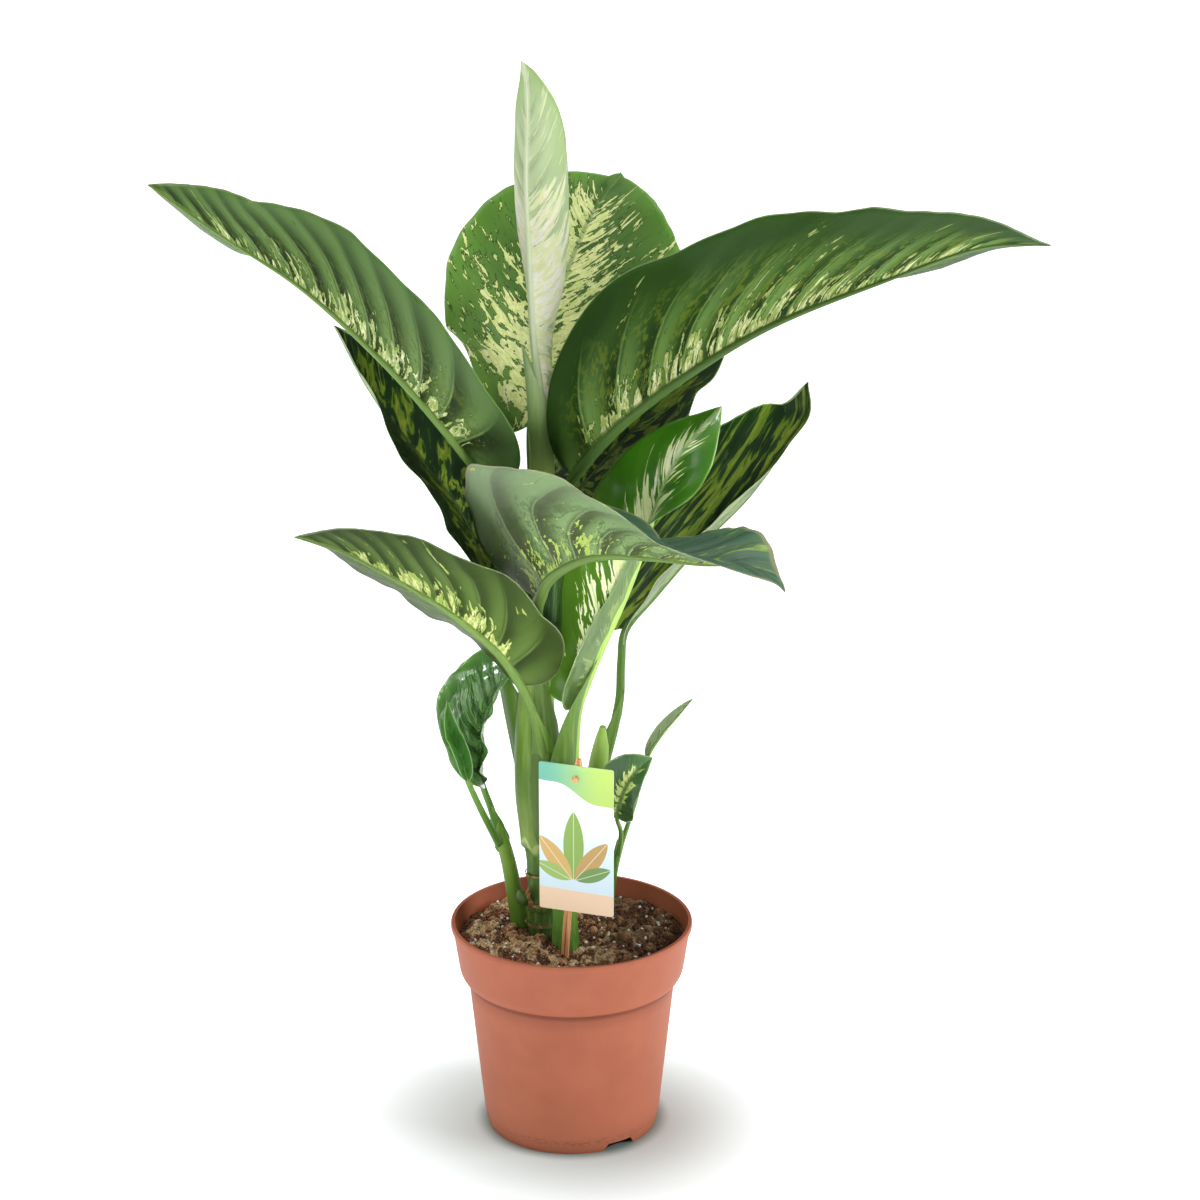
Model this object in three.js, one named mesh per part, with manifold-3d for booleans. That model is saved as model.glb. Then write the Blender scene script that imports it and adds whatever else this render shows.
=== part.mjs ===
// Potted dieffenbachia: a canes-and-leaves house plant in a plastic nursery pot.
// Millimetres, +Z up, the front faces -Y, the origin is the middle of the pot's foot.
import * as THREE from 'three';
import Module from 'manifold-3d';

const wasm = await Module();
wasm.setup();
const { Manifold, Mesh: SolidMesh } = wasm;

// driving dimensions
const gap = 0.3;            // clearance between pieces that touch
const bladeThickness = 0.8;
const pot = { rimRadius: 85, height: 153, footRadius: 60, shoulderRadius: 72.9, shoulderZ: 110, wall: 2.4,
  soilTop: 144 };
const notch = { wide: 19, deep: 9, high: 6, degrees: [-56, 52, 160] };
const label = { width: 54, height: 107, thick: 0.8, corner: 1.6, x: 4, y: -52, z: 234, turn: -0.35 };
const pin = { x: -0.2, z: 278, radius: 1.3, headRadius: 2.4, headThick: 1.6 };
const stake = { wide: 5.6, deep: 3.4, footX: -13, footZ: 98, topX: 1.2, topZ: 292, groove: 0.7,
  pegShare: 0.45 };

// ---------- solids ----------

const solidFromTriangles = (points, faces) => {
  const raw = new SolidMesh({
    numProp: 3,
    vertProperties: new Float32Array(points.flat()),
    triVerts: new Uint32Array(faces.flat()),
  });
  raw.merge();
  return new Manifold(raw);
};

const solidFromGeometry = (geometry) => {
  const { index } = geometry;
  const pos = geometry.getAttribute('position');
  const points = [];
  for (let i = 0; i < pos.count; i++) points.push([pos.getX(i), pos.getY(i), pos.getZ(i)]);
  const faces = [];
  const count = index ? index.count : pos.count;
  for (let i = 0; i < count; i += 3) {
    faces.push([0, 1, 2].map((k) => (index ? index.getX(i + k) : i + k)));
  }
  return solidFromTriangles(points, faces);
};

const geometryFromSolid = (solid) => {
  const mesh = solid.getMesh();
  const geometry = new THREE.BufferGeometry();
  geometry.setAttribute('position', new THREE.BufferAttribute(new Float32Array(mesh.vertProperties), 3));
  geometry.setIndex(new THREE.BufferAttribute(new Uint32Array(mesh.triVerts), 1));
  geometry.computeVertexNormals();
  return geometry;
};

const largestPiece = (solid) => {
  const pieces = solid.decompose();
  return pieces.sort((a, b) => b.volume() - a.volume())[0];
};

// a closed loft through rings of equal length, flat caps at both ends
// the second half of a ring is split the other way, so both faces of a blade have the same diagonals
const loft = (rings, mirrored = false) => {
  const n = rings[0].length;
  const points = [];
  const faces = [];
  rings.forEach((ring) => ring.forEach((p) => points.push([p.x, p.y, p.z])));
  for (let r = 0; r + 1 < rings.length; r++) {
    for (let k = 0; k < n; k++) {
      const a = r * n + k;
      const b = r * n + ((k + 1) % n);
      if (mirrored && k >= n / 2) faces.push([a, b, a + n], [b, b + n, a + n]);
      else faces.push([a, b, b + n], [a, b + n, a + n]);
    }
  }
  [0, rings.length - 1].forEach((r, end) => {
    const mid = rings[r].reduce((s, p) => s.add(p), new THREE.Vector3()).divideScalar(n);
    const m = points.length;
    points.push([mid.x, mid.y, mid.z]);
    for (let k = 0; k < n; k++) {
      const a = r * n + k;
      const b = r * n + ((k + 1) % n);
      faces.push(end === 0 ? [m, b, a] : [m, a, b]);
    }
  });
  const solid = solidFromTriangles(points, faces);
  return solid.volume() < 0 ? solidFromTriangles(points, faces.map(([a, b, c]) => [a, c, b])) : solid;
};

// a round stem: stations [x, y, z, radius], with sides around
const stem = (stations, sides = 12, extra = 0) => {
  const mids = stations.map(([x, y, z]) => new THREE.Vector3(x, y, z));
  const rings = mids.map((mid, i) => {
    const t = mids[Math.min(i + 1, mids.length - 1)].clone().sub(mids[Math.max(i - 1, 0)]).normalize();
    const side = new THREE.Vector3(1, 0, 0).addScaledVector(t, -t.x).normalize();
    const up = t.clone().cross(side);
    return Array.from({ length: sides }, (_, k) => {
      const a = (k / sides) * Math.PI * 2;
      return mid.clone()
        .addScaledVector(side, Math.cos(a) * (stations[i][3] + extra))
        .addScaledVector(up, Math.sin(a) * (stations[i][3] + extra));
    });
  });
  return loft(rings);
};

// ---------- leaves ----------

// knots of a blade: where a side vein leaves the rib, where it meets the margin, share of the half-width
const bladePlans = {
  broad: [[0, 0, 0], [0.02, -0.035, 0.3], [0.055, -0.01, 0.62], [0.12, 0.09, 0.88], [0.22, 0.26, 1],
    [0.36, 0.46, 0.98], [0.52, 0.66, 0.83], [0.7, 0.83, 0.54], [0.87, 0.945, 0.19], [1, 1, 0]],
  slim: [[0, 0, 0], [0.02, 0, 0.25], [0.06, 0.05, 0.55], [0.14, 0.15, 0.82], [0.25, 0.31, 0.98],
    [0.39, 0.49, 1], [0.54, 0.67, 0.86], [0.71, 0.83, 0.57], [0.87, 0.945, 0.22], [1, 1, 0]],
};

const planAt = (knots, t) => {
  const last = knots.length - 1;
  const i = Math.min(Math.floor(t * last), last - 1);
  const w = t * last - i;
  return [0, 1, 2].map((k) => {
    const p0 = knots[Math.max(i - 1, 0)][k];
    const p1 = knots[i][k];
    const p2 = knots[i + 1][k];
    const p3 = knots[Math.min(i + 2, last)][k];
    const v0 = (p2 - p0) / 2;
    const v1 = (p3 - p1) / 2;
    return (2 * p1 - 2 * p2 + v0 + v1) * w ** 3 + (-3 * p1 + 3 * p2 - 2 * v0 - v1) * w ** 2 + v0 * w + p1;
  });
};

const between = (values, f) => {
  const x = THREE.MathUtils.clamp(f, 0, 1) * (values.length - 1);
  const i = Math.min(Math.floor(x), values.length - 2);
  return values[i] + (values[i + 1] - values[i]) * (x - i);
};

// the stalk and the rib as one curve that can be asked for any place along the blade
const ribOf = (leaf) => {
  const knots = [...leaf.stalk, ...leaf.rib].map((p) => new THREE.Vector3(...p));
  const curve = new THREE.CatmullRomCurve3(knots, false, 'centripetal');
  const steps = 40 * (knots.length - 1);
  const points = Array.from({ length: steps + 1 }, (_, i) => curve.getPoint(i / steps));
  const along = [0];
  for (let i = 1; i <= steps; i++) along.push(along[i - 1] + points[i].distanceTo(points[i - 1]));
  const base = along[40 * leaf.stalk.length];
  const end = along[steps];
  const length = end - base;
  const pointAt = (s) => {
    const q = THREE.MathUtils.clamp(s, 0, end);
    let lo = 0;
    let hi = steps;
    while (hi - lo > 1) {
      const mid = (lo + hi) >> 1;
      if (along[mid] > q) hi = mid; else lo = mid;
    }
    return points[lo].clone().lerp(points[hi], (q - along[lo]) / Math.max(along[hi] - along[lo], 1e-9));
  };
  const frameAt = (a) => {
    const q = base + a;
    const inside = q > end || q < 0 ? THREE.MathUtils.clamp(q, 1.5, end - 1.5) : q;
    const tangent = pointAt(inside + 1.5).sub(pointAt(inside - 1.5)).normalize();
    const point = pointAt(q).addScaledVector(tangent, q - THREE.MathUtils.clamp(q, 0, end));
    const faces = leaf.facing.length > 1 ? leaf.facing : [leaf.facing[0], leaf.facing[0]];
    const face = new THREE.Vector3(...[0, 1, 2].map((k) => between(faces.map((v) => v[k]), a / length)));
    const side = tangent.clone().cross(face).normalize();
    const up = side.clone().cross(tangent);
    return { point, side, up, tangent };
  };
  return { base, length, frameAt };
};

// one point of the blade's middle surface: t runs base to tip, u runs -1 (left margin) to 1 (right margin)
const bladePoint = (leaf, rib, t, u) => {
  const s = u < 0 ? 0 : 1;
  const [inner, outer, width] = planAt(bladePlans[leaf.plan], t);
  const share = Math.max(width, 0);
  const lobe = leaf.lobe[s] * Math.min(share, 1) * (1 - Math.min(Math.max(inner, 0), 1)) ** 4;
  const reach = Math.abs(u) ** 1.5;
  const a = (inner * (1 - reach) + (outer - lobe) * reach) * rib.length;
  const b = share * Math.abs(u) * leaf.half[s];
  const { point, side, up } = rib.frameAt(a);
  const f = a / rib.length;
  const lift = THREE.MathUtils.degToRad(between(leaf.lift[s], f));
  const bend = THREE.MathUtils.degToRad(leaf.curl[s]) / leaf.half[s];
  const turn = lift + bend * b;
  const flat = Math.abs(bend) < 1e-6;
  const out = flat ? b * Math.cos(lift) : (Math.sin(turn) - Math.sin(lift)) / bend;
  const rise = flat ? b * Math.sin(lift) : (Math.cos(lift) - Math.cos(turn)) / bend;
  const sign = s === 0 ? -1 : 1;
  const normal = side.clone().multiplyScalar(-sign * Math.sin(turn)).addScaledVector(up, Math.cos(turn));
  const [height, waves, phase] = leaf.wave[s];
  const ripple = height * Math.min(share, 1) * u * u * Math.sin(2 * Math.PI * (waves * f + phase));
  const swell = Math.min(share * 1.5, 1) * Math.sin(Math.PI * Math.min(Math.abs(u) * 1.05, 1));
  const puff = leaf.quilt * swell * Math.cos(2 * Math.PI * leaf.veins * inner);
  point.addScaledVector(side, sign * out).addScaledVector(up, rise).addScaledVector(normal, ripple + puff);
  return { point, normal, side, up };
};

const ringPlaces = (perFace) => {
  const half = perFace === 9 ? [0.04, 0.27, 0.62, 1] : [0.06, 0.5, 1];
  const shares = [...half.map((u) => -u).reverse(), 0, ...half];
  const step = THREE.MathUtils.degToRad(180 / perFace);
  const top = shares.map((u, k) => ({ u, a: Math.PI - step * (k + 0.5), top: 1 }));
  const under = [...shares].reverse().map((u, k) => ({ u, a: -step * (k + 0.5), top: -1 }));
  return [...top, ...under];
};

const leafSolid = (leaf) => {
  const rib = ribOf(leaf);
  const places = ringPlaces(leaf.perFace);
  const [footR, baseR, tipR] = leaf.thick;
  const rings = [];
  for (let i = 0; i < leaf.stalkRows; i++) {
    const f = i / leaf.stalkRows;
    const { point, side, up } = rib.frameAt(-rib.base * (1 - f));
    const r = footR + (baseR - footR) * f;
    rings.push(places.map(({ a }) => point.clone()
      .addScaledVector(side, r * Math.cos(a))
      .addScaledVector(up, r * Math.sin(a))));
  }
  for (let i = 0; i <= leaf.rows; i++) {
    const t = i === 0 ? 0.004 : Math.min((i / leaf.rows) ** 0.92, 1) * 0.995;
    const r = baseR + (tipR - baseR) * t;
    const above = i === 0 ? 0.9 : 0.25;
    rings.push(places.map(({ u, a, top }) => {
      const b = bladePoint(leaf, rib, t, u === 0 ? 1e-6 : u);
      const fade = (1 - Math.abs(u)) ** 2;
      const height = top * (bladeThickness / 2 + r * (top > 0 ? above : 0.9) * Math.abs(Math.sin(a)) * fade);
      return b.point.clone()
        .addScaledVector(b.side, r * Math.cos(a) * Math.max(fade, 0.15))
        .addScaledVector(Math.abs(u) < 0.05 ? b.up : b.normal, height);
    }));
  }
  return loft(rings, true);
};

const stalkSolid = (leaf, extra) => {
  const rib = ribOf(leaf);
  const stations = Array.from({ length: 8 }, (_, i) => {
    const f = i / 7;
    const { point } = rib.frameAt(-rib.base * (1 - f) + f * 6);
    return [point.x, point.y, point.z, leaf.thick[0] + (leaf.thick[1] - leaf.thick[0]) * f];
  });
  return stem(stations, 14, extra);
};

const still = [[0, 0, 0], [0, 0, 0]];
const common = { curl: [0, 0], wave: still, lobe: [0, 0], plan: 'broad', quilt: 0.7, veins: 7,
  rows: 20, stalkRows: 6, perFace: 9, thick: [4.2, 3.2, 0.7] };

const leaves = {
  spear: { ...common, owner: 'cane_main', colour: 0xcddcb4,
    stalk: [[-19, 12, 462], [-18, 12, 495], [-20, 10, 530]],
    rib: [[-23.5, 6, 562], [-26, 0, 610], [-28, -4, 677], [-27, 0, 722], [-28, 4, 742], [-31, 6, 753]],
    facing: [[0.25, 1, 0]], half: [41, 27], lift: [[40, 10, -5, -5, -5, 0], [70, 45, 25, 20, 20, 15]],
    curl: [115, 80], plan: 'broad', quilt: 0, thick: [3.4, 2.4, 0.6] },
  back: { ...common, owner: 'cane_main', colour: 0x7f9f4c,
    stalk: [[-21, 19, 390], [-25, 30, 450]],
    rib: [[-27, 44, 500], [-21, 66, 533], [-12, 90, 570], [3, 116, 607], [19, 142, 635], [35, 166, 653]],
    facing: [[0, -0.9, 0.4]], half: [84, 98], lift: [[60, 40, 24, 14, 5, -5], [10, 15, 15, 25, 35, 45]],
    wave: [[3, 3, 0.2], [3, 3, 0.6]], lobe: [0, -0.2] },
  upper_left: { ...common, owner: 'cane_main', colour: 0x5f7f4a,
    stalk: [[-28, 8, 388], [-45, 0, 444]],
    rib: [[-63, -4, 483], [-87, -10, 517], [-122, -20, 560], [-175, -30, 612], [-225, -36, 647],
      [-270, -38, 680]],
    facing: [[0.3, 0.6, 0.7], [0.2, 0.9, 0.4]],
    half: [72, 66], lift: [[-5, -5, -5, 6, -5, 18], [15, 25, 35, 40, 40, 35]],
    wave: [[3, 3, 0.1], [3, 3, 0.4]] },
  upper_right: { ...common, owner: 'cane_main', colour: 0x5f7f4a,
    stalk: [[-14, 0, 374], [-9, -12, 434]],
    rib: [[1, -22, 481], [23, -24, 510], [60, -27, 542], [125, -30, 584], [202, -33, 616], [269, -34, 639],
      [312, -34, 640]],
    facing: [[-0.3, 0.3, 0.9], [-0.2, 0.6, 0.7], [-0.1, 0.9, 0.4]],
    half: [60, 80], lift: [[25, 30, 30, 35, 35, 45], [100, 72, 37, 18, -5, -36]],
    wave: [[3, 3, 0.3], [5, 3, 0.62]], lobe: [0, -0.16], thick: [4.6, 4, 0.8] },
  dark_left: { ...common, owner: 'cane_main', colour: 0x34502a, perFace: 7,
    stalk: [[-32, 14, 246], [-43, 20, 300], [-52, 26, 351]],
    rib: [[-60, 30, 399], [-73, 38, 434], [-90, 44, 458], [-118, 54, 493], [-142, 62, 527], [-162, 66, 565]],
    facing: [[0.3, -0.6, 0.7]], half: [52, 46], lift: [[55, 45, 45, 50, 60, 60], [10, 10, 10, 10, 10, 10]],
    wave: [[2, 3, 0.2], [3, 3, 0.6]] },
  dark_right: { ...common, owner: 'cane_main', colour: 0x34502a, perFace: 7,
    stalk: [[-15, 18, 335], [-11, 32, 404]],
    rib: [[-2, 46, 441], [20, 60, 467], [51, 76, 497], [89, 94, 535], [118, 106, 572]],
    facing: [[-0.3, -0.6, 0.7]], half: [64, 56], lift: [[0, -4, -4, 5, 10, 10], [15, 15, 20, 35, 35, 40]],
    wave: [[2, 3, 0.2], [3, 3, 0.6]], lobe: [-0.12, 0] },
  lower_left: { ...common, owner: 'cane_main', colour: 0x5f7f4a, perFace: 7,
    stalk: [[-17, -4, 215], [-18, -18, 280]],
    rib: [[-33, -30, 337], [-47, -36, 362], [-74, -44, 390], [-100, -50, 410], [-125, -54, 426],
      [-151, -58, 441], [-181, -60, 451]],
    facing: [[0.2, 0.8, 0.5]], half: [54, 54], lift: [[40, 10, 5, 0, 0, -5], [45, 35, 30, 30, 30, 35]],
    wave: [[2.5, 3, 0.2], [1.5, 3, 0.6]] },
  glossy_right: { ...common, owner: 'cane_second', colour: 0x4f8a30, perFace: 7,
    stalk: [[-4, -18, 202], [-2, -18, 271]],
    rib: [[-3, -18, 324], [8, -12, 364], [25, -10, 389], [44, -10, 420], [58, -12, 459], [73, -14, 494],
      [101, -14, 528]],
    facing: [[-0.3, -0.7, 0.6]],
    half: [54, 51], lift: [[-25, -10, 8, 0, -10, -22], [50, 50, 52, 52, 10, -40]],
    wave: [[3, 3, 0.15], [2, 3, 0.6]], thick: [6.4, 4.4, 0.8] },
  front_twisted: { ...common, owner: 'cane_second', colour: 0x86a678,
    stalk: [[-11, -24, 226], [-19, -16, 310], [-23, -20, 365]],
    rib: [[-21, -40, 402], [-14, -60, 424], [14, -95, 449], [52, -125, 457], [83, -142, 458],
      [111, -156, 460], [129, -164, 453], [136, -166, 446]],
    facing: [[-0.3, 0.5, 0.8], [0, 0.4, 0.9], [0.2, 0, 1]],
    half: [60, 92], lift: [[60, 50, 12, 18, 38, 58], [75, 55, 30, 20, 10, -5]],
    wave: [[2, 2, 0.2], [3, 2, 0.3]], thick: [4, 3, 0.7] },
  outer_right: { ...common, owner: 'shoot_right', colour: 0x2f4a27, perFace: 7,
    stalk: [[23, 60, 248], [29, 61, 270], [34, 62, 296], [35, 63, 322]],
    rib: [[32, 64, 345], [55, 66, 370], [90, 70, 408], [124, 74, 442], [149, 78, 476], [163, 80, 498],
      [164, 80, 522]],
    facing: [[-0.3, -0.7, 0.6]], half: [61, 40], lift: [[12, 15, 15, 15, 10, 6], [60, 66, 68, 66, 58, 50]],
    wave: [[2.5, 3, 0.2], [1, 3, 0.6]], thick: [3.6, 2.8, 0.7] },
  small_left: { ...common, owner: 'shoot_left', colour: 0x4c7a35,
    perFace: 7, rows: 16, stalkRows: 4, veins: 6, quilt: 0.6,
    stalk: [[-49, 17, 204], [-57, 15, 232]],
    rib: [[-63, 14, 252], [-63, 12, 275], [-60, 12, 301], [-51, 14, 320], [-44, 18, 336], [-35, 22, 352]],
    facing: [[0, -1, 0.2]], half: [40, 24], lift: [[95, 68, 42, 18, 2, -18], [80, 80, 85, 85, 80, 75]],
    wave: [[2, 3, 0.2], [2, 4, 0.6]], lobe: [-0.08, 0], thick: [2.8, 2.2, 0.6] },
  small_left_outer: { ...common, owner: 'shoot_left', colour: 0x3c5f2c,
    perFace: 7, rows: 10, stalkRows: 5, veins: 4, quilt: 0,
    stalk: [[-51, 12, 205], [-62, -12, 239]],
    rib: [[-71, -26, 268], [-76, -28, 288], [-81, -22, 298], [-84, -23, 312], [-84, -22, 323]],
    facing: [[0.4, -1, 0]], half: [11, 10], lift: [[60, 55, 55, 50, 50, 45], [65, 60, 60, 60, 55, 50]],
    plan: 'slim', thick: [2.7, 2, 0.6] },
  small_right: { ...common, owner: 'shoot_small', colour: 0x3f6a2c,
    perFace: 7, rows: 12, stalkRows: 4, veins: 4, quilt: 0.3,
    stalk: [[33, 62, 176], [35, 55, 196]],
    rib: [[32, 46, 212], [36, 40, 231], [43, 34, 247], [51, 32, 257], [57, 32, 262]],
    facing: [[0, -1, 0.2]], half: [22, 19], lift: [[20, 25, 25, 15, 5, 0], [5, 20, 35, 42, 38, 25]],
    wave: [[0.8, 2, 0.2], [0.8, 2, 0.6]], lobe: [0, -0.3], thick: [1.8, 1.5, 0.6] },
  narrow_right: { ...common, owner: 'shoot_small', colour: 0x9ab58a,
    perFace: 7, rows: 10, stalkRows: 4, veins: 4, quilt: 0,
    stalk: [[35.4, 64.8, 183.5], [45, 66, 214]],
    rib: [[54, 66, 250], [64, 68, 266], [76, 70, 280], [86, 72, 292]],
    facing: [[0, 1, 0.2]], half: [9, 10], lift: [[78, 78, 76, 74, 70, 60], [20, 20, 20, 25, 30, 30]],
    plan: 'slim', thick: [1.7, 1.4, 0.6] },
};

// ---------- canes and shoots: stations x, y, z, radius ----------

const canes = {
  cane_main: { colour: 0x6f9440, sides: 14, stations: [
    [-21, 1, 104, 7], [-21, 1, 142, 8.8], [-21, 2, 147, 10.2], [-21, 2, 151, 9], [-21, 3, 159, 9.4],
    [-21, 3, 162, 10.6], [-21, 4, 166, 9.6], [-21, 5, 180, 10], [-21, 6, 183, 11.2], [-21, 6, 187, 10.4],
    [-21, 6, 206, 11], [-21, 6, 210, 12.4], [-22, 6, 215, 12], [-23, 7, 245, 13.4], [-24, 8, 290, 12.6],
    [-22, 9, 340, 11], [-20, 10, 390, 9.6], [-19, 12, 440, 8.2], [-19, 12, 480, 6.8], [-20, 11.5, 505, 6.5],
    [-23, 9, 540, 6.2], [-28, 5, 578, 5.4]] },
  cane_second: { colour: 0x86ad45, sides: 12, stations: [
    [-4, -24, 104, 6.5], [-4, -24, 143, 9.6], [-4.5, -22, 165, 8.6], [-5.5, -20, 205, 8.8],
    [-4, -19, 240, 8.4], [-3.5, -18.5, 262, 7.6]] },
  shoot_left: { colour: 0x7c9f45, sides: 12, stations: [
    [-36, 17, 104, 5.2], [-36.5, 17, 143, 6.8], [-40.5, 17.5, 165, 5.8], [-44.5, 17.5, 188, 5.2],
    [-49, 17, 207, 5.2]] },
  shoot_right: { colour: 0x7c9f45, sides: 12, stations: [
    [13, 56, 104, 5], [13, 56, 143, 6.5], [14, 57, 180, 6.2], [16.5, 58, 215, 7], [18.5, 59, 242, 7.4],
    [21, 59, 262, 5.6], [22, 58, 276, 2.2]] },
  shoot_small: { colour: 0x86a855, sides: 10, stations: [
    [27, 60, 104, 3], [27, 60, 143, 3.6], [30, 62, 165, 3.2], [35, 64.5, 186, 3]] },
};

// ---------- pot and soil ----------

// radius and height up the outside, then down the inside: foot ring, wall, shoulder, band and rim
const potOutside = [[0, 0], [12, 0], [13, 1.6], [pot.footRadius - 5, 1.6], [pot.footRadius - 4, 0],
  [pot.footRadius, 0], [pot.footRadius + 2.4, 11], [pot.shoulderRadius, pot.shoulderZ], [75.2, 112],
  [77.8, 115.2], [79.3, 120], [83.5, 148], [pot.rimRadius, 149.6], [pot.rimRadius - 0.2, pot.height]];
const potInside = [[pot.rimRadius - 0.2 - pot.wall, pot.height], [77.2, 120], [75.6, 116], [73, 113.2],
  [70.8, 111.4], [60.3, 10], [58.4, 5.4], [0, 5.4]];

const turned = (profile, sides) => {
  const geometry = new THREE.LatheGeometry(profile.map(([r, z]) => new THREE.Vector2(r, z)), sides);
  geometry.rotateX(Math.PI / 2);
  const solid = solidFromGeometry(geometry);
  if (solid.volume() > 0) return solid;
  const mesh = solid.getMesh();
  const flipped = new Uint32Array(mesh.triVerts);
  for (let i = 0; i < flipped.length; i += 3) flipped.subarray(i, i + 3).reverse();
  return new Manifold(new SolidMesh({ numProp: 3, vertProperties: mesh.vertProperties, triVerts: flipped }));
};

const block = (w, d, h, x, y, z, turn = 0) => solidFromGeometry(
  new THREE.BoxGeometry(w, d, h).rotateZ(turn).translate(x, y, z));

const potSolid = () => {
  let solid = turned([...potOutside, ...potInside], 48);
  for (const degrees of notch.degrees) {       // drainage notches in the foot
    const a = THREE.MathUtils.degToRad(degrees);
    const [x, y] = [pot.footRadius * Math.cos(a), pot.footRadius * Math.sin(a)];
    solid = solid.subtract(block(notch.wide, notch.deep, notch.high, x, y, 2.2, a + Math.PI / 2));
  }
  return solid;
};

const soilLift = (x, y) => {          // a low uneven heap, higher at the front
  const r = Math.hypot(x, y) / 78;
  const humps = 1.1 * Math.sin(x * 0.13 + 0.6) * Math.cos(y * 0.11 + 0.4);
  return (1 - r * r) * 2 - y * 0.012 + humps + 0.7 * Math.sin(x * 0.31 + y * 0.27);
};

const soilSolid = () => {
  const sides = 48;
  const levels = [[57.6, 5.9], [59.6, 10.4], [70.1, 111.8], [72.4, 113.7], [75, 116.5], [76.6, 120.4]];
  const rings = levels.map(([r, z]) => Array.from({ length: sides }, (_, k) => {
    const a = (k / sides) * Math.PI * 2;
    return new THREE.Vector3(r * Math.cos(a), r * Math.sin(a), z);
  }));
  [79.6, 66, 50, 33, 16].forEach((r) => rings.push(Array.from({ length: sides }, (_, k) => {
    const a = (k / sides) * Math.PI * 2;
    const [x, y] = [r * Math.cos(a), r * Math.sin(a)];
    return new THREE.Vector3(x, y, pot.soilTop - 3 + soilLift(x, y));
  })));
  return loft(rings);
};

// ---------- label ----------

// a card on a wooden stake; drawn facing -Y about the origin, then turned and carried to its place
const toLabelPlace = (geometry) => geometry.rotateZ(label.turn).translate(label.x, label.y, 0);

const labelCard = () => {
  const [w, h, r] = [label.width / 2, label.height / 2, label.corner];
  const outline = [[1, -1], [1, 1], [-1, 1], [-1, -1]].flatMap(([sx, sz], corner) => [0, 1, 2, 3].map((k) => {
    const a = (corner - 1 + k / 3) * (Math.PI / 2);
    return new THREE.Vector2(sx * (w - r) + r * Math.cos(a), sz * (h - r) + r * Math.sin(a));
  }));
  const sheet = { depth: label.thick, bevelEnabled: false };
  const geometry = new THREE.ExtrudeGeometry(new THREE.Shape(outline), sheet);
  geometry.rotateX(Math.PI / 2).translate(0, 0, label.z);
  return solidFromGeometry(toLabelPlace(geometry));
};

const labelPin = (radius, from, to) => solidFromGeometry(toLabelPlace(
  new THREE.CylinderGeometry(radius, radius, to - from, 16).translate(pin.x, (from + to) / 2, pin.z)));

const stakeSolid = (extra = 0) => {
  const [w, d, groove] = [stake.wide / 2 + extra, stake.deep + extra * 2, extra > 0 ? 0 : stake.groove];
  const section = [[-w, 0], [-1.1, 0], [0, groove], [1.1, 0], [w, 0], [w, d], [-w, d]];
  const shape = new THREE.Shape(section.map(([x, y]) => new THREE.Vector2(x, y)));
  const rise = stake.topZ - stake.footZ + extra * 2;
  const geometry = new THREE.ExtrudeGeometry(shape, { depth: rise, bevelEnabled: false });
  const pos = geometry.getAttribute('position');
  for (let i = 0; i < pos.count; i++) {       // lean, and a taper to a rounded peg at the top
    const z = stake.footZ - extra + pos.getZ(i);
    const f = (z - stake.footZ) / (stake.topZ - stake.footZ);
    const thin = pos.getZ(i) > rise - 0.1 && extra === 0 ? stake.pegShare : 1;
    const x = pos.getX(i) * thin + stake.footX + (stake.topX - stake.footX) * f;
    pos.setXYZ(i, x, pos.getY(i) + gap - extra, z);
  }
  return solidFromGeometry(toLabelPlace(geometry));
};

// ---------- assembly ----------

const solids = new Map();
const colours = new Map();
const put = (name, solid, colour, roughness = 0.6) => {
  solids.set(name, solid);
  colours.set(name, { colour, roughness });
};

const caneGrown = {};
for (const [name, cane] of Object.entries(canes)) {
  put(name, stem(cane.stations, cane.sides), cane.colour, 0.5);
  caneGrown[name] = stem(cane.stations, cane.sides, gap);
}

// the leading cane ends in a sheath: cut slantwise, with a hollow where the new leaf stands
const sheath = (extra) => {
  const hollow = stem([[-19, 12, 458 - extra, 4.4 - extra], [-19, 12, 480, 4.6 - extra],
    [-20, 11.5, 505, 4.8 - extra], [-23, 9, 540, 4.8 - extra], [-28, 5, 590, 4.2 - extra]], 12);
  const cutter = new THREE.BoxGeometry(120, 80, 60).translate(0, 0, 30 + extra)
    .rotateY(1.17).translate(-22, 8, 541);
  const whole = stem(canes.cane_main.stations, canes.cane_main.sides, extra);
  return largestPiece(whole.subtract(solidFromGeometry(cutter)).subtract(hollow));
};
solids.set('cane_main', sheath(0));
const sheathGrown = sheath(gap);

const made = [];
for (const [name, leaf] of Object.entries(leaves)) {
  let solid = leafSolid(leaf);
  for (const other of Object.keys(canes)) {
    solid = solid.subtract(name === 'spear' && other === 'cane_main' ? sheathGrown : caneGrown[other]);
  }
  for (const earlier of made) solid = solid.subtract(stalkSolid(leaves[earlier], gap));
  put(name, largestPiece(solid), leaf.colour, 0.45);
  made.push(name);
}

put('pot', potSolid(), 0xb96a4c, 0.55);
let soil = soilSolid();
for (const name of Object.keys(canes)) soil = soil.subtract(caneGrown[name]);
soil = soil.subtract(stakeSolid(gap));
put('soil', largestPiece(soil), 0x4a3526, 0.95);
put('label_card', labelCard().subtract(labelPin(pin.radius + gap, -5, 5)), 0xe9e4d8, 0.4);
const headBack = -label.thick - gap;
const peg = labelPin(pin.radius, headBack - pin.headThick + 0.2, gap + 1);
const pegHead = labelPin(pin.headRadius, headBack - pin.headThick, headBack);
put('label_stake', stakeSolid().add(peg).add(pegHead), 0xc8966e, 0.7);

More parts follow.
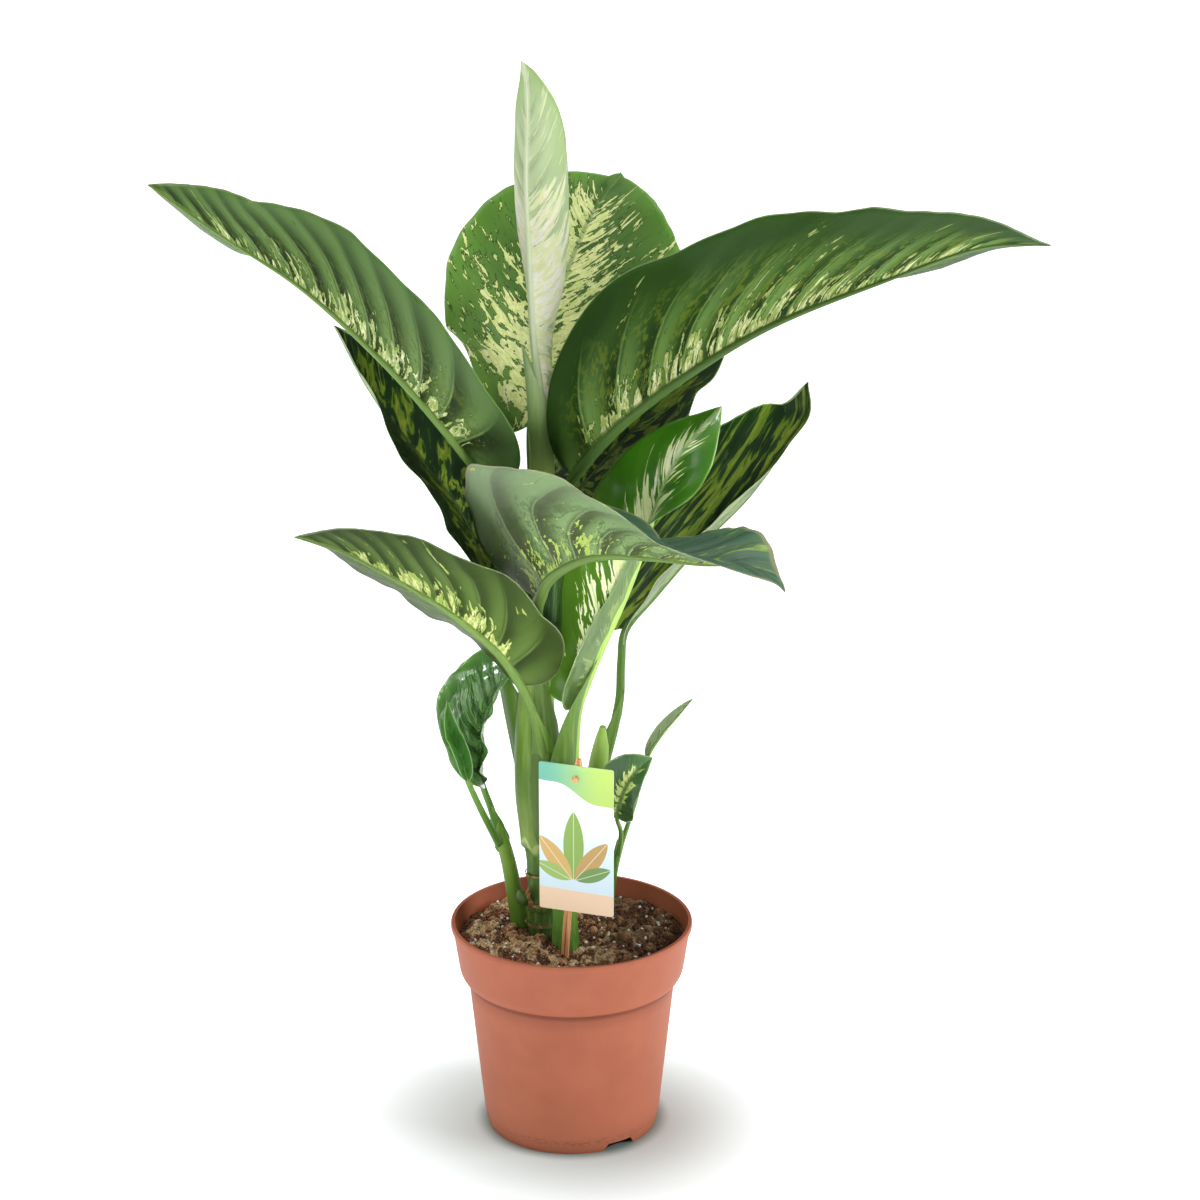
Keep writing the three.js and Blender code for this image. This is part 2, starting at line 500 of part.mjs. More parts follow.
const plant = new THREE.Group();
plant.name = 'potted_dieffenbachia';
for (const [name, solid] of solids) {
  const { colour, roughness } = colours.get(name);
  const material = new THREE.MeshStandardMaterial({ color: colour, roughness, metalness: 0 });
  material.name = name;
  const mesh = new THREE.Mesh(geometryFromSolid(solid), material);
  mesh.name = name;
  plant.add(mesh);
}

export default plant;
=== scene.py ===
# Potted dieffenbachia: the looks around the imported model.
# Sizes are in millimetres unless a name ends in Metres. The frame is the model's own: +Z up, front to -Y.
import math

import bmesh
import bpy
import numpy as np
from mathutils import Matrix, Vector, noise


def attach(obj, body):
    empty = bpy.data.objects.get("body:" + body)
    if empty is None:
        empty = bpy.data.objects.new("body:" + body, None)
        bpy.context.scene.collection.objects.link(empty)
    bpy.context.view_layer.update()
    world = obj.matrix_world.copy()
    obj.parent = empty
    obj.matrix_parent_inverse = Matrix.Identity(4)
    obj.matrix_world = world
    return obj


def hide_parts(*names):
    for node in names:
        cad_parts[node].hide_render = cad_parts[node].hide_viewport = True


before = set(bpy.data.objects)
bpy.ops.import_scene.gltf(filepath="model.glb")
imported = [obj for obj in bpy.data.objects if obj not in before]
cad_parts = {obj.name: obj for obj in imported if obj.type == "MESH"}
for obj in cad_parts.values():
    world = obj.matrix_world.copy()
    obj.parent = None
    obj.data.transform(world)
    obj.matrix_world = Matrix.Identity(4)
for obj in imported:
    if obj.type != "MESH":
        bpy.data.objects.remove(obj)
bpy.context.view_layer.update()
metre = 0.001  # metres in a millimetre
print("frame loaded")


# mesh help

def unit(v):
    return v / np.maximum(np.linalg.norm(v, axis=-1, keepdims=True), 1e-12)


def makePiece(name, points, faces, materials, slots=None, places=None, sharpAngle=None):
    # points in millimetres; places are named vectors kept on the points for the materials
    mesh = bpy.data.meshes.new(name)
    mesh.from_pydata([tuple(p) for p in np.asarray(points, float) * metre], [], [tuple(f) for f in faces])
    for material in materials:
        mesh.materials.append(material)
    if slots is not None:
        mesh.polygons.foreach_set("material_index", np.asarray(slots, np.int32))
    for label, values in (places or {}).items():
        layer = mesh.attributes.new(label, "FLOAT_VECTOR", "POINT")
        layer.data.foreach_set("vector", np.asarray(values, np.float32).ravel())
    mesh.polygons.foreach_set("use_smooth", [True] * len(mesh.polygons))
    if sharpAngle:
        mesh.set_sharp_from_angle(angle=math.radians(sharpAngle))
    mesh.update()
    piece = bpy.data.objects.new(name, mesh)
    bpy.context.scene.collection.objects.link(piece)
    return piece


def facesOut(piece):
    mesh = piece.data
    shape = bmesh.new()
    shape.from_mesh(mesh)
    bmesh.ops.recalc_face_normals(shape, faces=shape.faces)
    shape.to_mesh(mesh)
    shape.free()
    mesh.update()


def gridFaces(rows, columns, closed=False, start=0, flip=False):
    # quads of a grid whose points run row by row; closed joins the last column to the first
    last = columns if closed else columns - 1
    faces = []
    for i in range(rows - 1):
        for k in range(last):
            a = start + i * columns + k
            b = start + i * columns + (k + 1) % columns
            quad = (a, b, b + columns, a + columns)
            faces.append(quad[::-1] if flip else quad)
    return faces


def tubeFaces(rows, sides, start=0):
    # a closed grid of faces with a flat end at either side
    last = start + (rows - 1) * sides
    return gridFaces(rows, sides, closed=True, start=start) + [
        tuple(range(start + sides - 1, start - 1, -1)), tuple(range(last, last + sides))]


def turnedFaces(rows, sides):
    # a closed grid of faces whose two ends run to a point each; these two points follow those of the grid
    count = rows * sides
    faces = gridFaces(rows, sides, closed=True)
    for k in range(sides):
        after = (k + 1) % sides
        faces.append((count, after, k))
        faces.append((count + 1, count - sides + k, count - sides + after))
    return faces


def roundAngles(count):
    return np.arange(count) / count * 2 * np.pi


def tubePoints(line, side, up, radius, angles):
    # rings of points round a line; radius is a number for each ring, or for each point of a ring
    reach = np.broadcast_to(radius, (len(line), len(angles)))
    return (line[:, None, :] + side[:, None, :] * (reach * np.cos(angles))[..., None]
            + up[:, None, :] * (reach * np.sin(angles))[..., None]).reshape(-1, 3)


def stacked(*values):
    # three numbers or grids of numbers side by side, as one list of vectors
    return np.stack(np.broadcast_arrays(*values), -1).reshape(-1, 3)


def twoFaces(grid, offset):
    # a sheet's upper and under points, at an offset to either side of its middle
    step = sheetNormals(grid) * offset
    return np.vstack([(grid + step).reshape(-1, 3), (grid - step).reshape(-1, 3)])


def sheetFaces(rows, columns):
    # a closed thin sheet: an upper grid of points, then an under grid, joined along all four sides
    count = rows * columns
    faces = gridFaces(rows, columns) + gridFaces(rows, columns, start=count, flip=True)
    last = (rows - 1) * columns
    for i in range(rows - 1):
        a, b = i * columns, (i + 1) * columns
        faces.append((a, b, b + count, a + count))
        a, b = a + columns - 1, b + columns - 1
        faces.append((b, a, a + count, b + count))
    for k in range(columns - 1):
        faces.append((k + 1, k, k + count, k + 1 + count))
        faces.append((last + k, last + k + 1, last + k + 1 + count, last + k + count))
    return faces


def sheetNormals(grid):
    return unit(np.cross(np.gradient(grid, axis=1), np.gradient(grid, axis=0)))


def bakeModifiers(piece):
    # the evaluated shape as a plain mesh, with the modifiers gone
    graph = bpy.context.evaluated_depsgraph_get()
    mesh = bpy.data.meshes.new_from_object(piece.evaluated_get(graph))
    piece.modifiers.clear()
    piece.data = mesh


def cutAway(piece, cutter):
    cut = piece.modifiers.new("cut", "BOOLEAN")
    cut.operation = "DIFFERENCE"
    cut.solver = "EXACT"
    cut.object = cutter
    bakeModifiers(piece)
    bpy.data.objects.remove(cutter)


def cutBlock(piece, corner):
    # cuts away a block; corner moves the corners of a unit cube about the origin to its own
    points = [corner(x, y, z) for x in (-0.5, 0.5) for y in (-0.5, 0.5) for z in (-0.5, 0.5)]
    faces = [(0, 1, 3, 2), (4, 6, 7, 5), (0, 4, 5, 1), (2, 3, 7, 6), (0, 2, 6, 4), (1, 5, 7, 3)]
    cutter = makePiece("cutter", points, faces, [])
    facesOut(cutter)
    cutAway(piece, cutter)


# shader help

def colour(red, green, blue):
    # 0 to 255 as seen on a screen, to the linear values that shaders take
    def linear(c):
        c = c / 255
        return c / 12.92 if c <= 0.04045 else ((c + 0.055) / 1.055) ** 2.4
    return (linear(red), linear(green), linear(blue), 1.0)


class Value:
    # a node's output, used in sums as a number is
    def __init__(self, graph, socket):
        self.graph = graph
        self.socket = socket

    def __add__(self, other):
        return self.graph.maths("ADD", self, other)

    def __sub__(self, other):
        return self.graph.maths("SUBTRACT", self, other)

    def __rsub__(self, other):
        return self.graph.maths("SUBTRACT", other, self)

    def __mul__(self, other):
        return self.graph.maths("MULTIPLY", self, other)

    def __truediv__(self, other):
        return self.graph.maths("DIVIDE", self, other)

    def __pow__(self, other):
        return self.graph.maths("POWER", self, other)

    def __abs__(self):
        return self.graph.maths("ABSOLUTE", self)


class Graph:
    # colours are given as (red, green, blue) from 0 to 255
    def __init__(self, tree):
        self.tree = tree

    def add(self, kind, inputs=None, **settings):
        node = self.tree.nodes.new(kind)
        for key, value in settings.items():
            setattr(node, key, value)
        for key, value in (inputs or {}).items():
            self.feed(node.inputs[key], value)
        return node

    def feed(self, socket, value):
        if isinstance(value, bpy.types.Node):
            value = value.outputs[0]
        if isinstance(value, Value):
            value = value.socket
        if isinstance(value, bpy.types.NodeSocket):
            self.tree.links.new(value, socket)
        elif socket.type == "RGBA" and len(value) == 3:
            socket.default_value = colour(*value)
        else:
            socket.default_value = value

    def get(self, kind, inputs=None, output=0, **settings):
        return Value(self, self.add(kind, inputs, **settings).outputs[output])

    def maths(self, operation, a, b=0.0):
        return self.get("ShaderNodeMath", {0: a, 1: b}, operation=operation)

    def ramp(self, value, low, high, fromValue=0.0, toValue=1.0):
        return self.get("ShaderNodeMapRange", {
            "Value": value, "From Min": low, "From Max": high, "To Min": fromValue, "To Max": toValue,
        }, interpolation_type="SMOOTHSTEP")

    def mix(self, share, a, b):
        return self.get("ShaderNodeMix", {0: share, 6: a, 7: b}, 2, data_type="RGBA")

    def layers(self, base, *coats):
        # coats of colour one over another, each as (share, colour)
        for share, tint in coats:
            base = self.mix(share, base, tint)
        return base

    def noise(self, place, scale, detail=2.0, roughness=0.5, distortion=0.0):
        return self.get("ShaderNodeTexNoise", {
            "Vector": place, "Scale": scale, "Detail": detail, "Roughness": roughness,
            "Distortion": distortion}, "Fac")

    def vector(self, x=0.0, y=0.0, z=0.0):
        return self.get("ShaderNodeCombineXYZ", {"X": x, "Y": y, "Z": z})

    def length(self, place):
        return self.get("ShaderNodeVectorMath", {0: place}, "Value", operation="LENGTH")

    def split(self, value):
        return [Value(self, part) for part in self.add("ShaderNodeSeparateXYZ", {"Vector": value}).outputs]

    def read(self, label):
        return self.get("ShaderNodeAttribute", None, "Vector", attribute_name=label)

    def objectPlace(self):
        return self.get("ShaderNodeTexCoord", None, "Object")

    def bump(self, height, distance, strength):
        return self.get("ShaderNodeBump", {"Height": height, "Distance": distance, "Strength": strength})

    def use(self, group, inputs):
        made = self.add("ShaderNodeGroup", inputs, node_tree=group).outputs
        return {socket.name: Value(self, socket) for socket in made}

    def finish(self, base, roughness, normal):
        for key, value in (("Base Color", base), ("Roughness", roughness), ("Normal", normal)):
            self.feed(self.shader.inputs[key], value)
        return self.material


socketKinds = {"Place": "Vector", "Flow": "Vector", "Geometry": "Geometry", "Material": "Material", "Seed": "Int",
               "Detail": "Int"}


def makeGroup(name, inputs, outputs, kind="ShaderNodeTree"):
    # inputs and outputs: names parted by commas, which are numbers unless socketKinds says otherwise
    tree = bpy.data.node_groups.new(name, kind)
    for direction, labels in (("INPUT", inputs), ("OUTPUT", outputs)):
        for label in labels.split(", "):
            socketKind = "NodeSocket" + socketKinds.get(label, "Float")
            tree.interface.new_socket(label, in_out=direction, socket_type=socketKind)
    graph = Graph(tree)
    given = {socket.name: Value(graph, socket) for socket in graph.add("NodeGroupInput").outputs}
    return graph, given, graph.add("NodeGroupOutput").inputs


def makeMaterial(name, specular, surface=None):
    # a graph with a material and its shader; surface holds further fixed values of the shader
    material = bpy.data.materials.new(name)
    material.use_nodes = True
    graph = Graph(material.node_tree)
    graph.material = material
    graph.shader = material.node_tree.nodes["Principled BSDF"]
    for key, value in {"Specular IOR Level": specular, **(surface or {})}.items():
        graph.shader.inputs[key].default_value = value
    return graph


# leaf skin. Two attributes place it: leafPlace is (place along the rib of the side vein that passes here,
# signed share of the half-width, 1 on the upper face), leafFlow is (the first in mm, distance from the rib
# in mm, a number of the leaf's own)

def buildVeinGroup():
    # the lines of a blade: Vein and Fine, a pale band beside a side vein (partly its own tone, partly painted light
    # on the lit side of each ridge), painted shade on the ridge's other side, Rib, Rim and Edge
    graph, given, made = makeGroup(
        "leafVeins", "Place, Flow, Veins, Rib Width, Rim Width, Band Reach, Mirror",
        "Vein, Fine, Panel, Shade, Rib, Rim, Edge")
    vein, share, _ = graph.split(given["Place"])
    along, across, _ = graph.split(given["Flow"])
    width = abs(share)
    away = abs(across)
    length = along / (vein + 0.0001)
    phase = vein * given["Veins"]
    near = abs(graph.maths("FRACT", phase + 0.5) - 0.5)
    near = near * (length / given["Veins"])
    line = 1.0 - graph.ramp(near, 0.1, 1.5 - width * 0.9)
    graph.feed(made["Vein"], line * graph.ramp(width, 0.85, 0.4))
    fine = graph.maths("FRACT", phase * 7.0)
    graph.feed(made["Fine"], abs(fine * 2.0 - 1.0))
    # Mirror turns the painted light and shade to the other side of each vein, to follow the light on a leaf that lies
    # the other way; Band Reach is how far from the rib they go
    panel = graph.maths("FRACT", phase * (1.0 - given["Mirror"] * 2.0))
    fade = graph.ramp(width, given["Band Reach"], given["Band Reach"] * 0.15)
    # a pale band just past each vein: partly the leaf's own paler tone, partly painted light on the lit side of the
    # ridge
    band = graph.ramp(panel, 0.0, 0.16) * graph.ramp(panel, 0.8, 0.2)
    graph.feed(made["Panel"], band * fade)
    # painted shade on the far side of each ridge, just before the next vein
    shade = graph.ramp(panel, 0.5, 0.93) * graph.ramp(panel, 1.0, 0.96)
    graph.feed(made["Shade"], shade * fade)
    graph.feed(made["Rib"], graph.ramp(away, given["Rib Width"], given["Rib Width"] * 0.4))
    margin = away * (1.0 - width) / graph.maths("MAXIMUM", width, 0.05)
    rim = graph.ramp(margin, given["Rim Width"], given["Rim Width"] * 0.5)
    graph.feed(made["Rim"], rim * graph.ramp(width, 0.8, 0.95))
    graph.feed(made["Edge"], graph.ramp(width, 0.45, 0.95))
    return graph.tree


def buildBlotchGroup():
    # streaks that run along the side veins, thick at the rib and thinning out at Reach
    graph, given, made = makeGroup(
        "leafBlotches",
        "Place, Flow, Streak Width, Streak Length, Reach, Amount, Slope, From, To, Spot Scale, Jag, Ragged",
        "Cream, Halo, Mottle, Cloud, Tone")
    vein, share, _ = graph.split(given["Place"])
    along, across, seed = graph.split(given["Flow"])
    flowAlong = along / given["Streak Width"]
    flowAcross = across / given["Streak Length"]
    broad = graph.noise(graph.vector(flowAlong, flowAcross, seed), 1.0, 2.0, 0.5, given["Jag"])
    small = graph.noise(graph.vector(flowAlong, flowAcross * 1.3, seed + 5.0), 2.7, 2.0, 0.6, 0.4)
    cloud = graph.noise(graph.vector(along / 30.0, across / 50.0, seed + 9.0), 1.0, 2.0)
    fall = graph.ramp(abs(share), given["Reach"], 0.0)
    window = graph.ramp(vein, given["From"], given["From"] + 0.1)
    window = window * graph.ramp(vein, given["To"], given["To"] - 0.25)
    lean = (fall * window - 0.62) * given["Slope"] + given["Amount"]
    value = (small - 0.5) * given["Ragged"] + broad + lean + (cloud - 0.5) * 0.45
    graph.feed(made["Cream"], graph.ramp(value, 0.51, 0.54))
    graph.feed(made["Halo"], graph.ramp(value, 0.45, 0.49))
    spots = graph.noise(graph.vector(flowAlong, flowAcross * 1.8, seed + 17.0), given["Spot Scale"], 3.0, 0.6, 1.6)
    inside = window * graph.ramp(abs(share), 0.85, 0.45)
    graph.feed(made["Mottle"], graph.ramp(spots, 0.51, 0.56) * inside)
    graph.feed(made["Cloud"], cloud)
    graph.feed(made["Tone"], graph.ramp(small, 0.38, 0.62))
    return graph.tree


veinGroup = buildVeinGroup()
blotchGroup = buildBlotchGroup()

leafFinish = {
    "coatRoughness": 0.1, "through": 0.4, "depthMetres": 0.0016, "throughColour": (0.7, 1.0, 0.25),
    "bumpMetres": 0.0009, "bumpStrength": 0.8, "veinHeight": 0.55, "fineHeight": 0.05, "fibreHeight": 0.14,
}


def leafMaterial(name, look, veins):
    finish = leafFinish
    graph = makeMaterial(name + "_skin", look["specular"], {
        "Coat Weight": look["coat"], "Coat Roughness": finish["coatRoughness"],
        "Subsurface Weight": finish["through"], "Subsurface Scale": finish["depthMetres"],
        "Subsurface Radius": finish["throughColour"]})
    place, flow = graph.read("leafPlace"), graph.read("leafFlow")
    inner, _, face = graph.split(place)
    along, across, seed = graph.split(flow)
    lines = graph.use(veinGroup, {
        "Place": place, "Flow": flow, "Veins": veins, "Rib Width": look["ribWidth"],
        "Rim Width": look["rimWidth"], "Band Reach": look["bandReach"], "Mirror": look["mirror"]})
    marks = graph.use(blotchGroup, {
        "Place": place, "Flow": flow, "Streak Width": look["streak"][0], "Streak Length": look["streak"][1],
        "Reach": look["reach"], "Amount": look["amount"], "Slope": look["slope"], "From": look["span"][0],
        "To": look["span"][1], "Spot Scale": look["spots"], "Jag": look["jag"], "Ragged": look["ragged"]})
    fibre = graph.noise(graph.vector(along * 0.6, across * 0.06, seed), 1.0, 3.0, 0.6)
    faces = []
    for key in ("under", "top"):
        paint = look[key]
        base = graph.mix(graph.ramp(marks["Cloud"], 0.35, 0.65), paint["base"], paint["second"])
        cream = graph.mix(marks["Tone"], paint["cream"], paint["creamTwo"])
        faces.append(graph.layers(
            base, (graph.ramp(fibre, 0.5, 0.75, 0.0, 0.5), paint["fibre"]),
            (lines["Edge"] * paint["edgeShare"], paint["edge"]),
            # a pale band beside each side vein: partly the leaf's own tone, partly painted light
            (lines["Panel"] * paint["bandShare"], paint["band"]),
            # painted shade beside each ridge
            (lines["Shade"] * paint["shadeShare"], paint["shade"]),
            (marks["Mottle"] * paint["mottleShare"], paint["mottle"]),
            (marks["Halo"] * paint["haloShare"], paint["halo"]),
            (marks["Cream"] * paint["creamShare"], cream),
            (lines["Vein"] * paint["veinShare"], paint["vein"]),
            (lines["Rib"] * paint["ribShare"], paint["rib"])))
    # the lighter foot is partly the leaf's own paler green and partly painted light where it lies in shade under the
    # leaves above
    if "low" in look:  # a lighter foot of the blade
        faces[1] = graph.mix(graph.ramp(inner, 0.45, 0.2) * (1.0 - marks["Cream"]), faces[1], look["low"])
    skin = graph.mix(face, faces[0], faces[1])
    skin = graph.mix(lines["Rim"] * look["rim"], skin, look["rimColour"])
    rough = graph.ramp(face, 0.0, 1.0, look["underRoughness"], look["topRoughness"])
    ridge = lines["Vein"] * graph.ramp(face, 0.0, 1.0, 1.0, -0.6)
    wrinkle = graph.noise(graph.vector(along * 0.16, across * 0.1, seed + 3.0), 1.0, 3.0, 0.55, 0.6)
    height = lines["Fine"] * finish["fineHeight"] + ridge * finish["veinHeight"] + fibre * finish["fibreHeight"]
    height = height + marks["Halo"] * look["emboss"] + wrinkle * (1.0 - lines["Edge"]) * look["wrinkle"]
    return graph.finish(skin, fibre * 0.14 + (rough - 0.07),
                        graph.bump(height, finish["bumpMetres"], finish["bumpStrength"]))


def stalkMaterial(name, look):
    # colours of a stalk's foot, of the rib's far end, and of its streaks
    graph = makeMaterial(name + "_stalk", 0.3)
    foot, tip, streak = look["stalk"]
    inner = graph.split(graph.read("leafPlace"))[0]
    along, across, seed = graph.split(graph.read("leafFlow"))
    fibre = graph.noise(graph.vector(along * 0.025, across * 0.5, seed), 1.0, 3.0, 0.6)
    base = graph.mix(graph.ramp(inner, -0.9, 0.35), foot, tip)
    base = graph.mix(graph.ramp(fibre, 0.45, 0.75, 0.0, 0.7), base, streak)
    return graph.finish(base, graph.ramp(fibre, 0.3, 0.7, 0.34, 0.5), graph.bump(fibre, 0.0004, 0.4))


# leaf shapes: the model's own recipe with finer rows, side veins and quilting

bladePlans = {  # where a side vein leaves the rib, where it meets the margin, share of the half-width
    "broad": [(0, 0, 0), (0.02, -0.035, 0.3), (0.055, -0.01, 0.62), (0.12, 0.09, 0.88), (0.22, 0.26, 1),
              (0.36, 0.46, 0.98), (0.52, 0.66, 0.83), (0.7, 0.83, 0.54), (0.87, 0.945, 0.19), (1, 1, 0)],
    "slim": [(0, 0, 0), (0.02, 0, 0.25), (0.06, 0.05, 0.55), (0.14, 0.15, 0.82), (0.25, 0.31, 0.98),
             (0.39, 0.49, 1), (0.54, 0.67, 0.86), (0.71, 0.83, 0.57), (0.87, 0.945, 0.22), (1, 1, 0)],
}

leafShared = {
    "rowStep": 1.5, "halfColumns": 22, "sides": 20, "halfThickness": 0.35, "edgeThickness": 0.12,
    "curl": (0, 0), "lobe": (0, 0), "plan": "broad", "wave": ((0, 0, 0), (0, 0, 0)), "thick": (4.2, 3.2, 0.7),
    "quilt": 1.3, "veins": 12, "scallop": 0.005, "smooth": 1.2, "crinkle": 0.7, "sweep": (1.15, 1.15),
    "corners": (), "waist": (),
}

